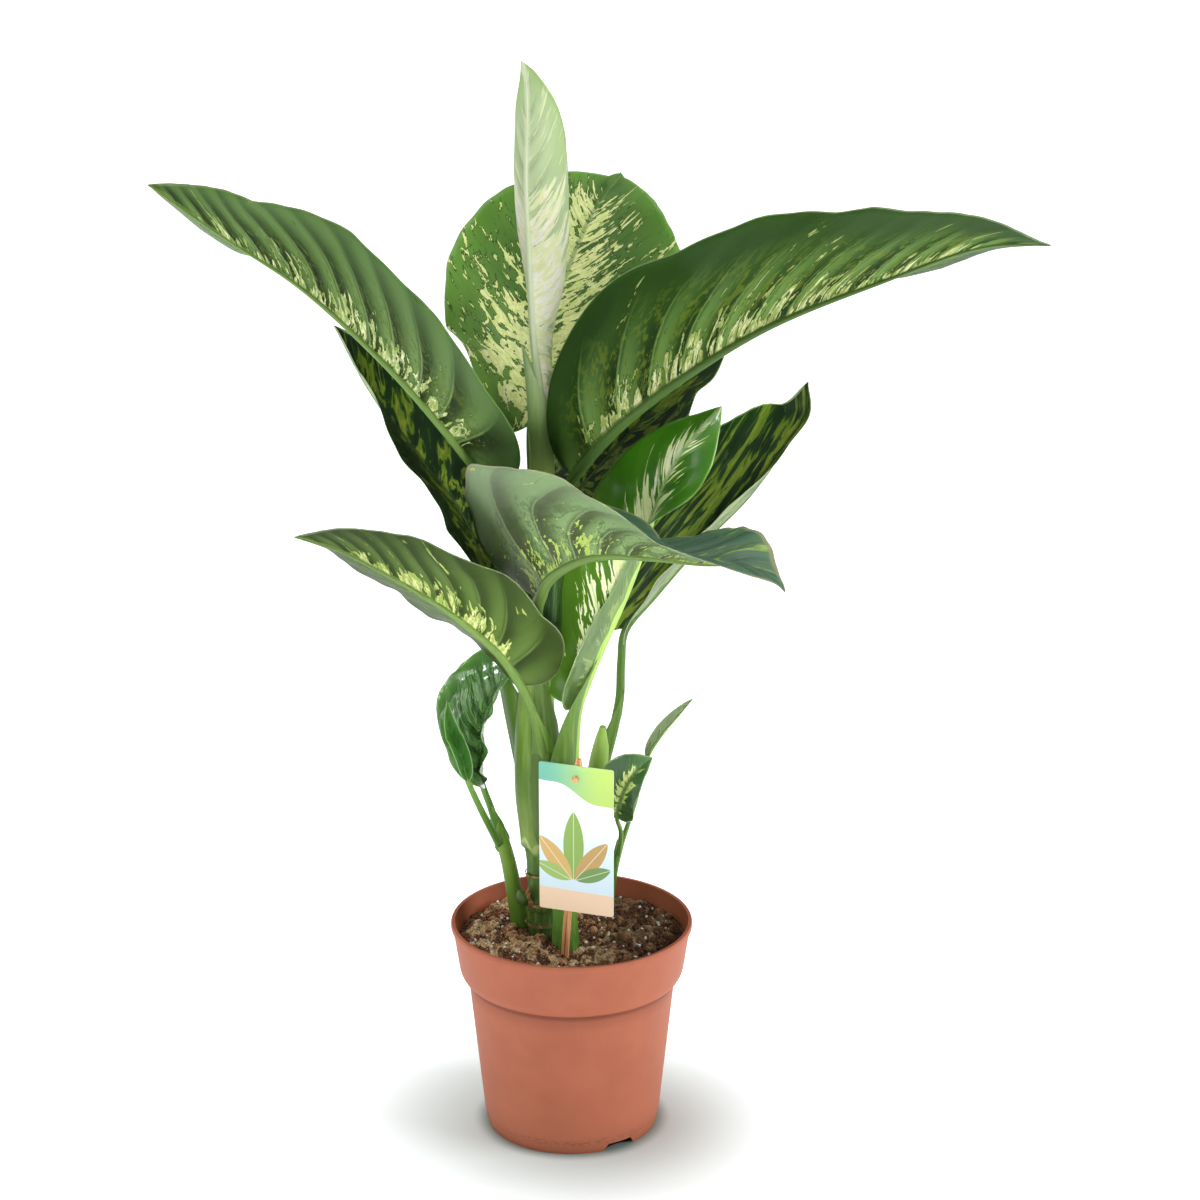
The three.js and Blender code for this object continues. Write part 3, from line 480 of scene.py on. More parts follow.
leafShapes = {
    "spear": {
        "stalk": [(-19, 12, 462), (-18, 12, 495), (-20, 10, 530)],
        "rib": [(-23.5, 6, 562), (-26, 0, 610), (-28, -4, 677), (-27, 0, 722), (-28, 4, 742), (-31, 6, 753)],
        "facing": [(0.25, 1, 0)], "half": (41, 27), "lift": ((40, 10, -5, -5, -5, 0), (70, 45, 25, 20, 20, 15)),
        "curl": (115, 80), "thick": (3.4, 2.4, 0.6), "quilt": 0.35, "veins": 11, "crinkle": 0.3,
        "foot": {"start": 0.14, "length": 96, "rows": 40, "shrink": 0.42}},
    "back": {
        "stalk": [(-21, 19, 390), (-25, 30, 450)],
        "rib": [(-27, 44, 500), (-21, 66, 533), (-12, 90, 570), (3, 116, 607), (19, 142, 635), (35, 166, 653)],
        "facing": [(0, -0.9, 0.4)], "half": (84, 98), "lift": ((60, 40, 24, 14, 5, -5), (10, 15, 15, 25, 35, 45)),
        "wave": ((3, 3, 0.2), (3, 3, 0.6)), "lobe": (0, -0.2), "quilt": 1.0, "veins": 11,
        "sweep": (0.5, 1.0), "corners": [(-1, 0.9, 0.05, -6, 0), (1, 0.93, 0.04, -3, 0)]},
    "upper_left": {
        "stalk": [(-28, 8, 388), (-45, 0, 444)],
        "rib": [(-63, -4, 483), (-87, -10, 517), (-122, -20, 560), (-175, -30, 612), (-225, -36, 647),
                (-270, -38, 680)],
        "facing": [(0.3, 0.6, 0.7), (0.2, 0.9, 0.4)], "half": (72, 66),
        "lift": ((-5, -5, -5, 6, -5, 18), (40, 43, 45, 44, 42, 36)),
        "wave": ((3, 3, 0.1), (3, 3, 0.4)), "quilt": 3.0, "veins": 13, "sweep": (1.15, 1.4)},
    "upper_right": {
        "stalk": [(-14, 0, 374), (-9, -12, 434)],
        "rib": [(1, -22, 481), (23, -24, 510), (60, -27, 542), (125, -30, 584), (202, -33, 616), (269, -34, 639),
                (312, -34, 640)],
        "facing": [(-0.3, 0.3, 0.9), (-0.2, 0.6, 0.7), (-0.1, 0.9, 0.4)], "half": (60, 80),
        "lift": ((25, 30, 30, 35, 35, 45), (100, 72, 37, 18, -5, -36)),
        "wave": ((3, 3, 0.3), (5, 3, 0.62)), "lobe": (0, -0.2), "thick": (4.6, 4, 0.8), "quilt": 3.0, "veins": 14,
        "sweep": (1.4, 1.4), "corners": [(1, 0.57, 0.06, 10, 0)]},
    "dark_left": {
        "stalk": [(-32, 14, 246), (-43, 20, 300), (-52, 26, 351)],
        "rib": [(-60, 30, 399), (-73, 38, 434), (-90, 44, 458), (-118, 54, 493), (-142, 62, 527), (-162, 66, 565)],
        "facing": [(0.3, -0.6, 0.7)], "half": (52, 46), "lift": ((55, 45, 45, 50, 60, 60), (10, 10, 10, 10, 10, 10)),
        "wave": ((2, 3, 0.2), (3, 3, 0.6)), "veins": 10},
    "dark_right": {
        "stalk": [(-15, 18, 335), (-11, 32, 404)],
        "rib": [(-2, 46, 441), (20, 60, 467), (51, 76, 497), (89, 94, 535), (118, 106, 572)],
        "facing": [(-0.3, -0.6, 0.7)], "half": (64, 56), "lift": ((0, -4, -4, 5, 10, 10), (15, 15, 20, 35, 35, 40)),
        "wave": ((2, 3, 0.2), (3, 3, 0.6)), "lobe": (-0.12, 0), "veins": 10},
    "lower_left": {
        "stalk": [(-17, -4, 215), (-18, -18, 280)],
        "rib": [(-33, -30, 337), (-47, -36, 362), (-74, -44, 390), (-100, -50, 410), (-125, -54, 426),
                (-151, -58, 441), (-181, -60, 451)],
        "facing": [(0.2, 0.8, 0.5)], "half": (54, 54), "lift": ((40, 10, 5, 0, 0, -5), (45, 35, 30, 30, 30, 35)),
        "wave": ((2.5, 3, 0.2), (1.5, 3, 0.6)), "quilt": 2.3, "veins": 11,
        "waist": [(-1, 0.12, 0.14, 0.14)]},
    "glossy_right": {
        "stalk": [(-4, -18, 202), (0, -19, 271)],
        "rib": [(5, -20, 324), (19, -17, 360), (34, -13, 392), (46, -11, 422), (58, -12, 459), (73, -14, 494),
                (101, -14, 528)],
        "facing": [(-0.3, -0.7, 0.6)], "half": (54, 51),
        "lift": ((-20, -8, 8, 0, -10, -22), (122, 116, 108, 60, 10, -40)),
        "waist": [(1, 0.2, 0.24, 0.74), (1, 0.4, 0.13, 0.62), (1, 0.0, 0.1, 0.3)],
        "wave": ((3.5, 3, 0.15), (2, 3, 0.6)), "thick": (6.4, 4.4, 0.8), "quilt": 1.2, "veins": 9,
        "sweep": (1.7, 1.7)},
    "front_twisted": {
        "stalk": [(-11, -24, 226), (-19, -16, 310), (-23, -20, 365)],
        "rib": [(-21, -40, 402), (-14, -60, 424), (14, -95, 449), (52, -125, 457), (83, -142, 458),
                (111, -156, 460), (129, -164, 453), (136, -166, 446)],
        "facing": [(-0.3, 0.5, 0.8), (0, 0.4, 0.9), (0.2, 0, 1)], "half": (60, 92),
        "lift": ((60, 50, 12, 18, 38, 58), (75, 55, 30, 20, 10, -5)),
        "wave": ((2, 2, 0.2), (3, 2, 0.3)), "lobe": (0, 0.1), "thick": (4.4, 4.2, 0.7), "quilt": 3.4, "smooth": 4,
        "veins": 10, "corners": [(1, 0.13, 0.02, 6, 2)], "scallop": 0.02,
        "waist": [(-1, 0.92, 0.09, 0.5), (1, 0.92, 0.09, 0.5), (1, 0.05, 0.09, -0.25), (1, 0.14, 0.07, 0.15)]},
    "outer_right": {
        "stalk": [(23, 60, 248), (29, 61, 270), (34, 62, 296), (35, 63, 322)],
        "rib": [(38, 64, 347), (58, 66, 372), (90, 70, 408), (124, 74, 442), (149, 78, 476), (163, 80, 498),
                (164, 80, 522)],
        "facing": [(-0.3, -0.7, 0.6)], "half": (61, 40), "lift": ((12, 15, 15, 15, 10, 6), (60, 66, 68, 66, 58, 50)),
        "wave": ((1.2, 3, 0.2), (1, 3, 0.6)), "thick": (3.6, 2.8, 0.7), "veins": 10, "sweep": (5, 5)},
    "small_left": {
        "stalk": [(-49, 17, 204), (-57, 15, 232)],
        "rib": [(-63, 14, 252), (-63, 12, 275), (-60, 12, 301), (-51, 14, 320), (-44, 18, 336), (-35, 22, 352)],
        "facing": [(0, -1, 0.2)], "half": (40, 24), "lift": ((95, 68, 42, 18, 2, -18), (80, 80, 85, 85, 80, 75)),
        "wave": ((2, 3, 0.2), (2, 4, 0.6)), "thick": (2.8, 2.2, 0.6), "quilt": 1.9, "smooth": 2, "veins": 9,
        "crinkle": 1.5, "waist": [(-1, 0.0, 0.12, 0.55), (1, 0.0, 0.14, 0.7)]},
    "small_left_outer": {
        "stalk": [(-51, 12, 205), (-62, -12, 239)],
        "rib": [(-71, -26, 268), (-76, -28, 288), (-81, -22, 298), (-84, -23, 312), (-84, -22, 323)],
        "facing": [(0.4, -1, 0)], "half": (11, 10), "lift": ((60, 55, 55, 50, 50, 45), (65, 60, 60, 60, 55, 50)),
        "plan": "slim", "thick": (2.7, 2, 0.6), "quilt": 0.2, "veins": 7, "crinkle": 0.1},
    "small_right": {
        "stalk": [(33, 62, 176), (35, 55, 196)],
        "rib": [(32, 46, 212), (36, 40, 231), (43, 34, 247), (51, 32, 257), (57, 32, 262)],
        "facing": [(0, -1, 0.2)], "half": (25, 14), "lift": ((20, 25, 25, 15, 5, 0), (25, 35, 42, 42, 38, 25)),
        "wave": ((0.8, 2, 0.2), (0.8, 2, 0.6)), "lobe": (0, 0.12), "thick": (1.8, 1.5, 0.6), "quilt": 0.6,
        "veins": 7, "crinkle": 0.2},
    "narrow_right": {
        "stalk": [(35.4, 64.8, 183.5), (45, 66, 214)],
        "rib": [(54, 66, 250), (64, 68, 266), (76, 70, 280), (86, 72, 292)],
        "facing": [(0, 1, 0.2)], "half": (7, 6.5), "lift": ((78, 78, 76, 74, 70, 60), (20, 20, 20, 25, 30, 30)),
        "plan": "slim", "thick": (1.7, 1.4, 0.6), "quilt": 0.1, "veins": 6, "crinkle": 0.1},
}


def planAt(knots, t):
    knots = np.asarray(knots, float)
    last = len(knots) - 1
    i = np.clip(np.floor(t * last).astype(int), 0, last - 1)
    w = (t * last - i)[:, None]
    p0, p1 = knots[np.maximum(i - 1, 0)], knots[i]
    p2, p3 = knots[i + 1], knots[np.minimum(i + 2, last)]
    v0, v1 = (p2 - p0) / 2, (p3 - p1) / 2
    return (2 * p1 - 2 * p2 + v0 + v1) * w ** 3 + (-3 * p1 + 3 * p2 - 2 * v0 - v1) * w ** 2 + v0 * w + p1


def between(values, f):
    values = np.asarray(values, float)
    x = np.clip(f, 0, 1) * (len(values) - 1)
    i = np.minimum(np.floor(x).astype(int), len(values) - 2)
    w = x - i
    w = w if values.ndim == 1 else w[..., None]
    return values[i] + (values[i + 1] - values[i]) * w


def smoothPath(knots, steps=40):
    # a centripetal Catmull-Rom curve through the knots
    knots = np.asarray(knots, float)
    count = len(knots)
    pieces = []
    for i in range(count - 1):
        p1, p2 = knots[i], knots[i + 1]
        p0 = knots[i - 1] if i else 2 * knots[0] - knots[1]
        p3 = knots[i + 2] if i < count - 2 else 2 * knots[-1] - knots[-2]
        d0, d1, d2 = [max(np.sum((a - b) ** 2) ** 0.25, 1e-4) for a, b in ((p0, p1), (p1, p2), (p2, p3))]
        t1 = ((p1 - p0) / d0 - (p2 - p0) / (d0 + d1) + (p2 - p1) / d1) * d1
        t2 = ((p2 - p1) / d1 - (p3 - p1) / (d1 + d2) + (p3 - p2) / d2) * d1
        w = np.linspace(0, 1, steps, endpoint=False)[:, None]
        pieces.append((2 * p1 - 2 * p2 + t1 + t2) * w ** 3 + (-3 * p1 + 3 * p2 - 2 * t1 - t2) * w ** 2 + t1 * w + p1)
    pieces.append(knots[-1:])
    return np.vstack(pieces)


class Rib:
    # the stalk and rib of a leaf as one curve; a is the distance from the blade's base, negative on the stalk
    def __init__(self, leaf):
        steps = 40
        self.points = smoothPath(leaf["stalk"] + leaf["rib"], steps)
        gaps = np.linalg.norm(np.diff(self.points, axis=0), axis=1)
        self.along = np.concatenate([[0], np.cumsum(gaps)])
        self.base = self.along[steps * len(leaf["stalk"])]
        self.end = self.along[-1]
        self.length = self.end - self.base
        faces = leaf["facing"]
        self.faces = faces if len(faces) > 1 else faces * 2

    def pointAt(self, s):
        q = np.clip(s, 0, self.end)
        return np.stack([np.interp(q, self.along, self.points[:, k]) for k in range(3)], -1)

    def frameAt(self, a):
        a = np.asarray(a, float)
        s = self.base + a
        tangent = unit(self.pointAt(s + 1.5) - self.pointAt(s - 1.5))
        inside = np.clip(s, 1.5, self.end - 1.5)
        outside = (s < 0) | (s > self.end)
        tangent = np.where(outside[..., None], unit(self.pointAt(inside + 1.5) - self.pointAt(inside - 1.5)), tangent)
        point = self.pointAt(s) + tangent * (s - np.clip(s, 0, self.end))[..., None]
        side = unit(np.cross(tangent, between(self.faces, a / self.length)))
        return point, tangent, side, np.cross(side, tangent)


def bladeSurface(leaf, rib, t, u, seed):
    # the blade's middle surface: t runs base to tip, u runs -1 (left margin) to 1 (right margin)
    draw = np.random.default_rng(seed)
    inner, outer, width = planAt(bladePlans[leaf["plan"]], t).T[:, :, None]
    share = np.maximum(width, 0)
    u = np.asarray(u)[None, :] + 0 * share
    right = u >= 0

    def pick(pair):
        return np.where(right, pair[1], pair[0])

    lobe = pick(leaf["lobe"]) * np.minimum(share, 1) * (1 - np.clip(inner, 0, 1)) ** 4
    size = np.abs(u)
    reach = size ** 1.5
    a = (inner * (1 - reach) + (outer - lobe) * reach) * rib.length
    away = share * size * pick(leaf["half"])
    for half, centre, spread, less in leaf["waist"]:  # places where a half is narrower
        away = away * (1 - less * np.exp(-((inner - centre) / spread) ** 2) * (right == (half > 0)))
    sweep = pick(leaf["sweep"]) * np.clip(inner, 0, 1) / (np.clip(inner, 0, 1) + 0.4)
    vein = inner - sweep * away / rib.length  # side veins leave the rib slantwise, towards the tip
    phase = vein * leaf["veins"]
    dent = 1 - leaf["scallop"] * np.cos(2 * np.pi * phase) * size ** 3
    b = away * dent
    for half, centre, spread, out, forward in leaf["corners"]:  # places where the margin runs out to a point
        swell = np.exp(-np.abs((inner - centre) / spread) ** 1.3) * size ** 4 * (right == (half > 0))
        b = b + out * swell
        a = a + forward * swell
    point, _, side, up = rib.frameAt(a)
    f = a / rib.length
    lift = np.radians(np.where(right, between(leaf["lift"][1], f), between(leaf["lift"][0], f)))
    bend = np.radians(pick(leaf["curl"])) / pick(leaf["half"])
    flat = np.abs(bend) < 1e-6
    safe = np.where(flat, 1.0, bend)
    turn = lift + bend * b
    out = np.where(flat, b * np.cos(lift), (np.sin(turn) - np.sin(lift)) / safe)
    rise = np.where(flat, b * np.sin(lift), (np.cos(lift) - np.cos(turn)) / safe)
    sign = np.where(right, 1.0, -1.0)
    normal = side * (-sign * np.sin(turn))[..., None] + up * np.cos(turn)[..., None]
    height, waves, start = [pick([leaf["wave"][0][k], leaf["wave"][1][k]]) for k in range(3)]
    ripple = height * np.minimum(share, 1) * size ** 2 * np.sin(2 * np.pi * (waves * f + start))
    # quilting: each panel between two side veins swells towards the upper face
    panel = np.clip(np.floor(phase).astype(int) + 4, 0, leaf["veins"] + 4)
    strength = np.stack([draw.uniform(0.7, 1.3, leaf["veins"] + 5) for _ in range(2)])
    swell = np.where(right, strength[1][panel], strength[0][panel])
    arch = np.abs(np.sin(np.pi * phase)) ** 0.75 - 0.6
    edge = (1 - np.exp(-7 * size)) * np.clip(1 - size ** leaf["smooth"], 0.08, 1)
    puff = leaf["quilt"] * swell * np.minimum(share * 1.4, 1) * edge * arch
    crinkle = np.zeros_like(puff)
    for _ in range(5):
        turns, slant, offset = draw.uniform(3, 9), draw.uniform(-3, 3), draw.uniform(0, 6.28)
        crinkle += np.sin(2 * np.pi * (turns * f + slant * u) + offset)
    puff = puff + leaf["crinkle"] * 0.35 * crinkle * size * np.minimum(share, 1)
    point = point + side * (sign * out)[..., None] + up * rise[..., None] + normal * (ripple + puff)[..., None]
    return point, inner + 0 * u, vein, b * sign


def rolledFoot(foot, rib, t, middle, inner, vein, across):
    # a rolled leaf has no cut base: the section at one place goes on down, narrowing, into its sheath
    first = np.searchsorted(t, foot["start"])
    middle, inner, vein, across = middle[first:], inner[first:], vein[first:], across[first:]
    ribStart = rib.pointAt(rib.base + inner[:1, :1] * rib.length)
    down = np.linspace(foot["length"], 0, foot["rows"], endpoint=False)
    centre = rib.pointAt(rib.base + inner[0, 0] * rib.length - down)
    size = foot["shrink"] + (1 - foot["shrink"]) * (1 - down / foot["length"]) ** 0.5
    rows = centre[:, None, :] + (middle[:1] - ribStart) * size[:, None, None]
    drop = down[:, None] / rib.length
    return (np.vstack([rows, middle]), np.vstack([inner[:1] - drop, inner]), np.vstack([vein[:1] - drop, vein]),
            np.vstack([across[:1] * size[:, None], across]))


def leafMesh(name, leaf, material, stalk, seed):
    rib = Rib(leaf)
    half = np.linspace(0, 1, leaf["halfColumns"] + 1) ** 1.2
    u = np.concatenate([-half[:0:-1], half])
    rows = int(rib.length / leaf["rowStep"])
    t = np.linspace(0.004, 0.997, rows)
    middle, inner, vein, across = bladeSurface(leaf, rib, t, u, seed)
    if "foot" in leaf:
        middle, inner, vein, across = rolledFoot(leaf["foot"], rib, t, middle, inner, vein, across)
        rows = len(middle)
    normal = sheetNormals(middle)
    footR, baseR, tipR = leaf["thick"]
    share = np.abs(u)[None, :]
    ribR = baseR + (tipR - baseR) * np.clip(inner, 0, 1)
    thin = leaf["edgeThickness"] + (leaf["halfThickness"] - leaf["edgeThickness"]) * (1 - share ** 6)
    fillet = 0.6 * ribR * np.exp(-(across / (1.5 * ribR)) ** 2) * np.clip(inner * 12, 0, 1)
    groove = 0.35 * np.exp(-(across / 1.2) ** 2)
    top = middle + normal * (thin - groove)[..., None]
    under = middle - normal * (thin + fillet)[..., None]
    columns = len(u)
    points = [top.reshape(-1, 3), under.reshape(-1, 3)]
    faces = sheetFaces(rows, columns)
    place = stacked(vein, u[None, :], 1.0)
    flow = stacked(vein * rib.length, across, seed * 3.7)
    places, flows = [place, place * (1, 1, 0)], [flow, flow]
    slots = [0] * len(faces)

    # the stalk and rib: one tapering tube that sinks to the under face where the blade starts
    steps = int((rib.base + rib.length) / 2.5)
    a = np.linspace(-rib.base, rib.length * 0.97, steps)
    point, _, side, up = rib.frameAt(a)
    f = np.clip(a / rib.length, 0, 1)
    back = np.clip(-a / rib.base, 0, 1)
    radius = np.where(a < 0, baseR + (footR - baseR) * back, tipR * 0.6 + (baseR - tipR * 0.6) * (1 - f) ** 1.2)
    radius = radius * (1 + 0.18 * np.exp(-(a + rib.base) / 14))
    sink = np.clip((a + 14) / 30, 0, 1)
    sink = sink * sink * (3 - 2 * sink) * (radius * 0.75 + 0.3)
    angles = roundAngles(leaf["sides"])
    channel = 1 - 0.24 * np.exp(-((angles - np.pi / 2) / 0.5) ** 2)[None, :] * np.clip(-a / 30, 0, 1)[:, None]
    ring = radius[:, None] * channel
    points.append(tubePoints(point - up * sink[:, None], side, up, ring, angles))
    stalkFaces = tubeFaces(steps, leaf["sides"], 2 * rows * columns)
    faces += stalkFaces
    slots += [1] * len(stalkFaces)
    places.append(stacked(np.where(a < 0, -back, f)[:, None], 0 * ring, 0.0))
    flows.append(stacked(a[:, None], ring * np.sin(angles / 2) * 4, seed * 3.7))
    piece = makePiece(name, np.vstack(points), faces, [material, stalk], slots,
                      {"leafPlace": np.vstack(places), "leafFlow": np.vstack(flows)})
    facesOut(piece)
    return piece


# leaf colours

def paint(base, second, band, halo, cream, vein, **more):
    # one face: two greens, a pale band beside a side vein (partly its own tone, partly painted light), the rim of a
    # blotch, the blotch, and the veins
    made = {"base": base, "second": second, "fibre": second, "edge": base, "band": band, "halo": halo,
            "cream": cream, "creamTwo": cream, "vein": vein, "rib": vein,
            # the last colour but one is the base darkened: painted shade for the side of each ridge away from the
            # light
            "shade": tuple(0.62 * c for c in base), "mottle": halo}
    shares = {"edgeShare": 0.0, "mottleShare": 0.0, "shadeShare": 0.35, "bandShare": 0.35, "haloShare": 0.8,
              "creamShare": 1.0, "veinShare": 0.3, "ribShare": 0.8}
    for key, value in more.items():
        (shares if key.endswith("Share") else made)[key] = value
    return {**made, **shares}


darkTop = paint((22, 42, 20), (34, 60, 28), (38, 68, 30), (70, 98, 28), (150, 164, 62), (46, 76, 34),
                creamTwo=(112, 136, 40), rib=(32, 56, 26), veinShare=0.15, fibre=(30, 52, 26), creamShare=0.8,
                haloShare=0.6)
paleUnder = paint((112, 138, 92), (128, 152, 108), (140, 164, 120), (128, 150, 84), (170, 184, 120),
                  (150, 172, 124))
# stalks: colours of the foot, the rib's far end and the streaks
stemGreens = [(80, 114, 40), (68, 98, 40), (104, 134, 58)]
shootGreens = [(84, 128, 44), (96, 136, 56), (120, 158, 76)]
thinGreens = [(96, 140, 52), (110, 150, 64), (130, 166, 84)]

# streak: width and length; span: from and to along the rib; low: a lighter foot of the blade, partly its own paler
# green and partly painted light where it lies in shade
# in the looks, the shade colour and its share are painted shade beside each ridge; the pale band beside each vein is
# partly the leaf's own tone and partly painted light
leafLooks = {
    "spear": {
        "under": paint((184, 204, 152), (202, 218, 174), (212, 224, 186), (218, 230, 188), (248, 248, 230),
                       (210, 224, 178), creamTwo=(232, 236, 180), fibre=(176, 198, 142), edge=(164, 190, 128),
                       edgeShare=0.6, bandShare=0.2, veinShare=0.15, rib=(220, 230, 192)),
        "top": paint((92, 140, 40), (104, 152, 52), (110, 160, 60), (150, 180, 90), (214, 222, 160),
                     (130, 170, 80)),
        "streak": (6.5, 22), "reach": 1.6, "amount": 0.03, "slope": 0.34, "span": (-0.7, 0.6), "rim": 0.5,
        "rimColour": (150, 180, 110), "rimWidth": 1.6,
        "stalk": [(140, 178, 80), (222, 232, 196), (200, 220, 160)], "slot": "leaf_new"},
    "back": {
        "under": paleUnder,
        "top": paint((82, 120, 54), (110, 148, 74), (116, 156, 84), (48, 76, 28), (242, 244, 188), (88, 132, 60),
                     creamTwo=(216, 226, 148), fibre=(70, 108, 50), edge=(112, 156, 64), edgeShare=0.5,
                     veinShare=0.15, rib=(120, 156, 84), ribShare=0.5),
        "streak": (4.8, 12), "reach": 1.3, "amount": -0.015, "slope": 0.3, "span": (-0.25, 1.0), "rim": 0.3,
        "stalk": [(120, 160, 70), (150, 180, 100), (170, 196, 120)], "slot": "leaf_light"},
    "upper_left": {
        "under": paint((44, 70, 20), (58, 86, 30), (110, 142, 76), (50, 76, 16), (226, 230, 178),
                       (134, 162, 96), creamTwo=(152, 170, 90), mottle=(84, 104, 28), mottleShare=0.6,
                       edge=(88, 116, 62), edgeShare=0.7, bandShare=0.9, shadeShare=0.95, veinShare=0.65,
                       rib=(118, 146, 68)),
        "top": darkTop, "streak": (4.6, 13), "reach": 0.58, "amount": -0.065, "slope": 0.32, "span": (0.0, 1.0),
        "rim": 0.25, "wrinkle": 3.0, "emboss": 0.4, "bandReach": 1.3,
        "stalk": [(92, 134, 46), (112, 144, 66), (126, 158, 78)], "slot": "leaf_mid"},
    "upper_right": {
        "under": paint((40, 72, 16), (54, 88, 22), (112, 150, 74), (52, 80, 16), (224, 228, 176),
                       (134, 168, 90), creamTwo=(152, 168, 82), mottle=(104, 124, 36), mottleShare=0.7,
                       edge=(40, 66, 20), edgeShare=0.7, bandShare=0.85, shadeShare=0.8, veinShare=0.55,
                       rib=(62, 92, 24)),
        "top": darkTop, "streak": (5.0, 16), "reach": 0.6, "amount": -0.06, "slope": 0.3, "span": (0.0, 1.05),
        "rim": 0.35, "stalk": [(34, 58, 28), (70, 102, 34), (80, 114, 46)], "slot": "leaf_mid"},
    "dark_left": {
        "under": paleUnder, "top": {**darkTop, "base": (30, 50, 28)}, "streak": (11, 16), "jag": 1.4,
        "ragged": 0.3, "reach": 1.1, "amount": -0.03, "slope": 0.16, "span": (-0.3, 1.1), "topRoughness": 0.45,
        "specular": 0.2, "stalk": stemGreens, "slot": "leaf_dark"},
    "dark_right": {
        "under": paleUnder, "top": darkTop, "streak": (10, 15), "jag": 1.4, "ragged": 0.3, "reach": 1.1,
        "amount": -0.01, "slope": 0.16, "span": (-0.3, 1.1), "topRoughness": 0.45, "specular": 0.2,
        "stalk": stemGreens, "slot": "leaf_dark"},
    "lower_left": {
        "under": paint((50, 70, 20), (62, 84, 28), (90, 114, 50), (70, 92, 24), (200, 202, 142),
                       (106, 130, 66), creamTwo=(136, 154, 72), edge=(38, 54, 12), edgeShare=0.8,
                       bandShare=0.65, shadeShare=0.8, veinShare=0.4, rib=(112, 140, 66)),
        "top": darkTop, "streak": (6.5, 15), "reach": 0.55, "amount": -0.05, "slope": 0.3, "span": (0.05, 0.95),
        "bandReach": 1.3, "emboss": 0.4, "rim": 0.3,
        "stalk": [(72, 106, 32), (96, 124, 54), (112, 140, 62)], "slot": "leaf_mid"},
    "glossy_right": {
        "under": paint((72, 98, 40), (82, 110, 48), (88, 116, 54), (84, 112, 46), (118, 138, 72),
                       (104, 130, 68), rib=(92, 120, 52)),
        "top": paint((60, 116, 24), (82, 142, 32), (88, 148, 40), (92, 142, 40), (246, 248, 214), (98, 156, 56),
                     creamTwo=(226, 236, 178), fibre=(54, 108, 22), edge=(74, 132, 28), edgeShare=0.5,
                     rib=(160, 192, 122), ribShare=0.75),
        "streak": (6.6, 20), "reach": 0.95, "amount": -0.02, "slope": 0.36, "span": (-0.3, 1.1), "rim": 0.6,
        "rimColour": (120, 150, 70), "low": (78, 118, 32), "specular": 0.5, "coat": 0.55, "topRoughness": 0.22,
        "stalk": [(146, 182, 56), (144, 176, 84), (160, 188, 96)], "slot": "leaf_bright"},
    "front_twisted": {
        "under": paint((60, 74, 40), (72, 90, 48), (112, 138, 88), (48, 68, 24), (132, 152, 66),
                       (134, 156, 104), creamTwo=(148, 166, 84), fibre=(66, 78, 48), edge=(116, 138, 100),
                       shade=(60, 64, 44), edgeShare=0.7, bandShare=0.9, shadeShare=0.9, veinShare=0.5,
                       mottle=(48, 68, 28), mottleShare=0.6, haloShare=0.4, rib=(98, 124, 56)),
        "top": paint((70, 98, 80), (84, 114, 92), (92, 122, 96), (96, 124, 72), (146, 170, 92), (92, 122, 98),
                     fibre=(62, 90, 72)),
        "streak": (4.6, 11), "reach": 0.62, "amount": -0.1, "slope": 0.2, "span": (-0.1, 0.95), "rim": 0.8,
        "rimColour": (144, 136, 114), "rimWidth": 1.6, "bandReach": 1.5, "mirror": 1.0, "spots": 0.55,
        "wrinkle": 0.8,
        "stalk": [(72, 100, 34), (80, 104, 46), (94, 118, 56)], "slot": "leaf_pale"},
    "outer_right": {
        "under": paint((92, 110, 76), (104, 122, 88), (112, 130, 94), (100, 118, 70), (126, 142, 90),
                       (120, 138, 102)),
        "top": darkTop, "streak": (38, 9), "jag": 1.6, "reach": 1.3, "amount": -0.02, "slope": 0.14,
        "span": (-0.3, 1.2), "topRoughness": 0.45, "specular": 0.2, "stalk": stemGreens, "slot": "leaf_dark"},
    "small_left": {
        "under": paleUnder,
        "top": paint((64, 110, 46), (84, 130, 62), (112, 156, 86), (84, 130, 60), (160, 190, 124),
                     (120, 162, 96), fibre=(56, 100, 40), bandShare=0.6, shadeShare=0.7),
        "streak": (2.4, 8), "reach": 0.3, "amount": -0.1, "span": (0.0, 0.6), "rim": 0.2, "wrinkle": 10,
        "specular": 0.6, "coat": 1.0, "topRoughness": 0.24, "stalk": shootGreens, "slot": "leaf_bright"},
    "small_left_outer": {
        "under": paleUnder,
        "top": paint((52, 100, 40), (66, 118, 48), (72, 124, 52), (90, 136, 60), (140, 172, 96), (92, 140, 66)),
        "streak": (2.4, 8), "reach": 0.3, "amount": -0.2, "span": (0.0, 0.6), "rim": 0.3, "coat": 0.4,
        "topRoughness": 0.25, "stalk": shootGreens, "slot": "leaf_dark"},
    "small_right": {
        "under": paleUnder,
        "top": paint((60, 96, 54), (78, 120, 64), (84, 126, 70), (106, 142, 66), (214, 226, 146), (96, 136, 78),
                     fibre=(54, 88, 48)),
        "streak": (4.2, 9), "reach": 0.75, "amount": 0.0, "slope": 0.38, "span": (0.0, 0.9), "rim": 0.5,
        "coat": 0.5, "topRoughness": 0.22, "stalk": thinGreens, "slot": "leaf_bright"},
    "narrow_right": {
        "under": paint((124, 140, 104), (140, 156, 120), (146, 160, 126), (140, 156, 116), (160, 174, 130),
                       (150, 164, 130)),
        "top": paint((84, 96, 74), (98, 112, 86), (104, 118, 92), (106, 120, 90), (126, 140, 106), (116, 130, 104)),
        "streak": (3, 10), "reach": 0.5, "amount": -0.25, "span": (0.0, 0.9), "rim": 0.3, "stalk": thinGreens,
        "slot": "leaf_pale"},
}
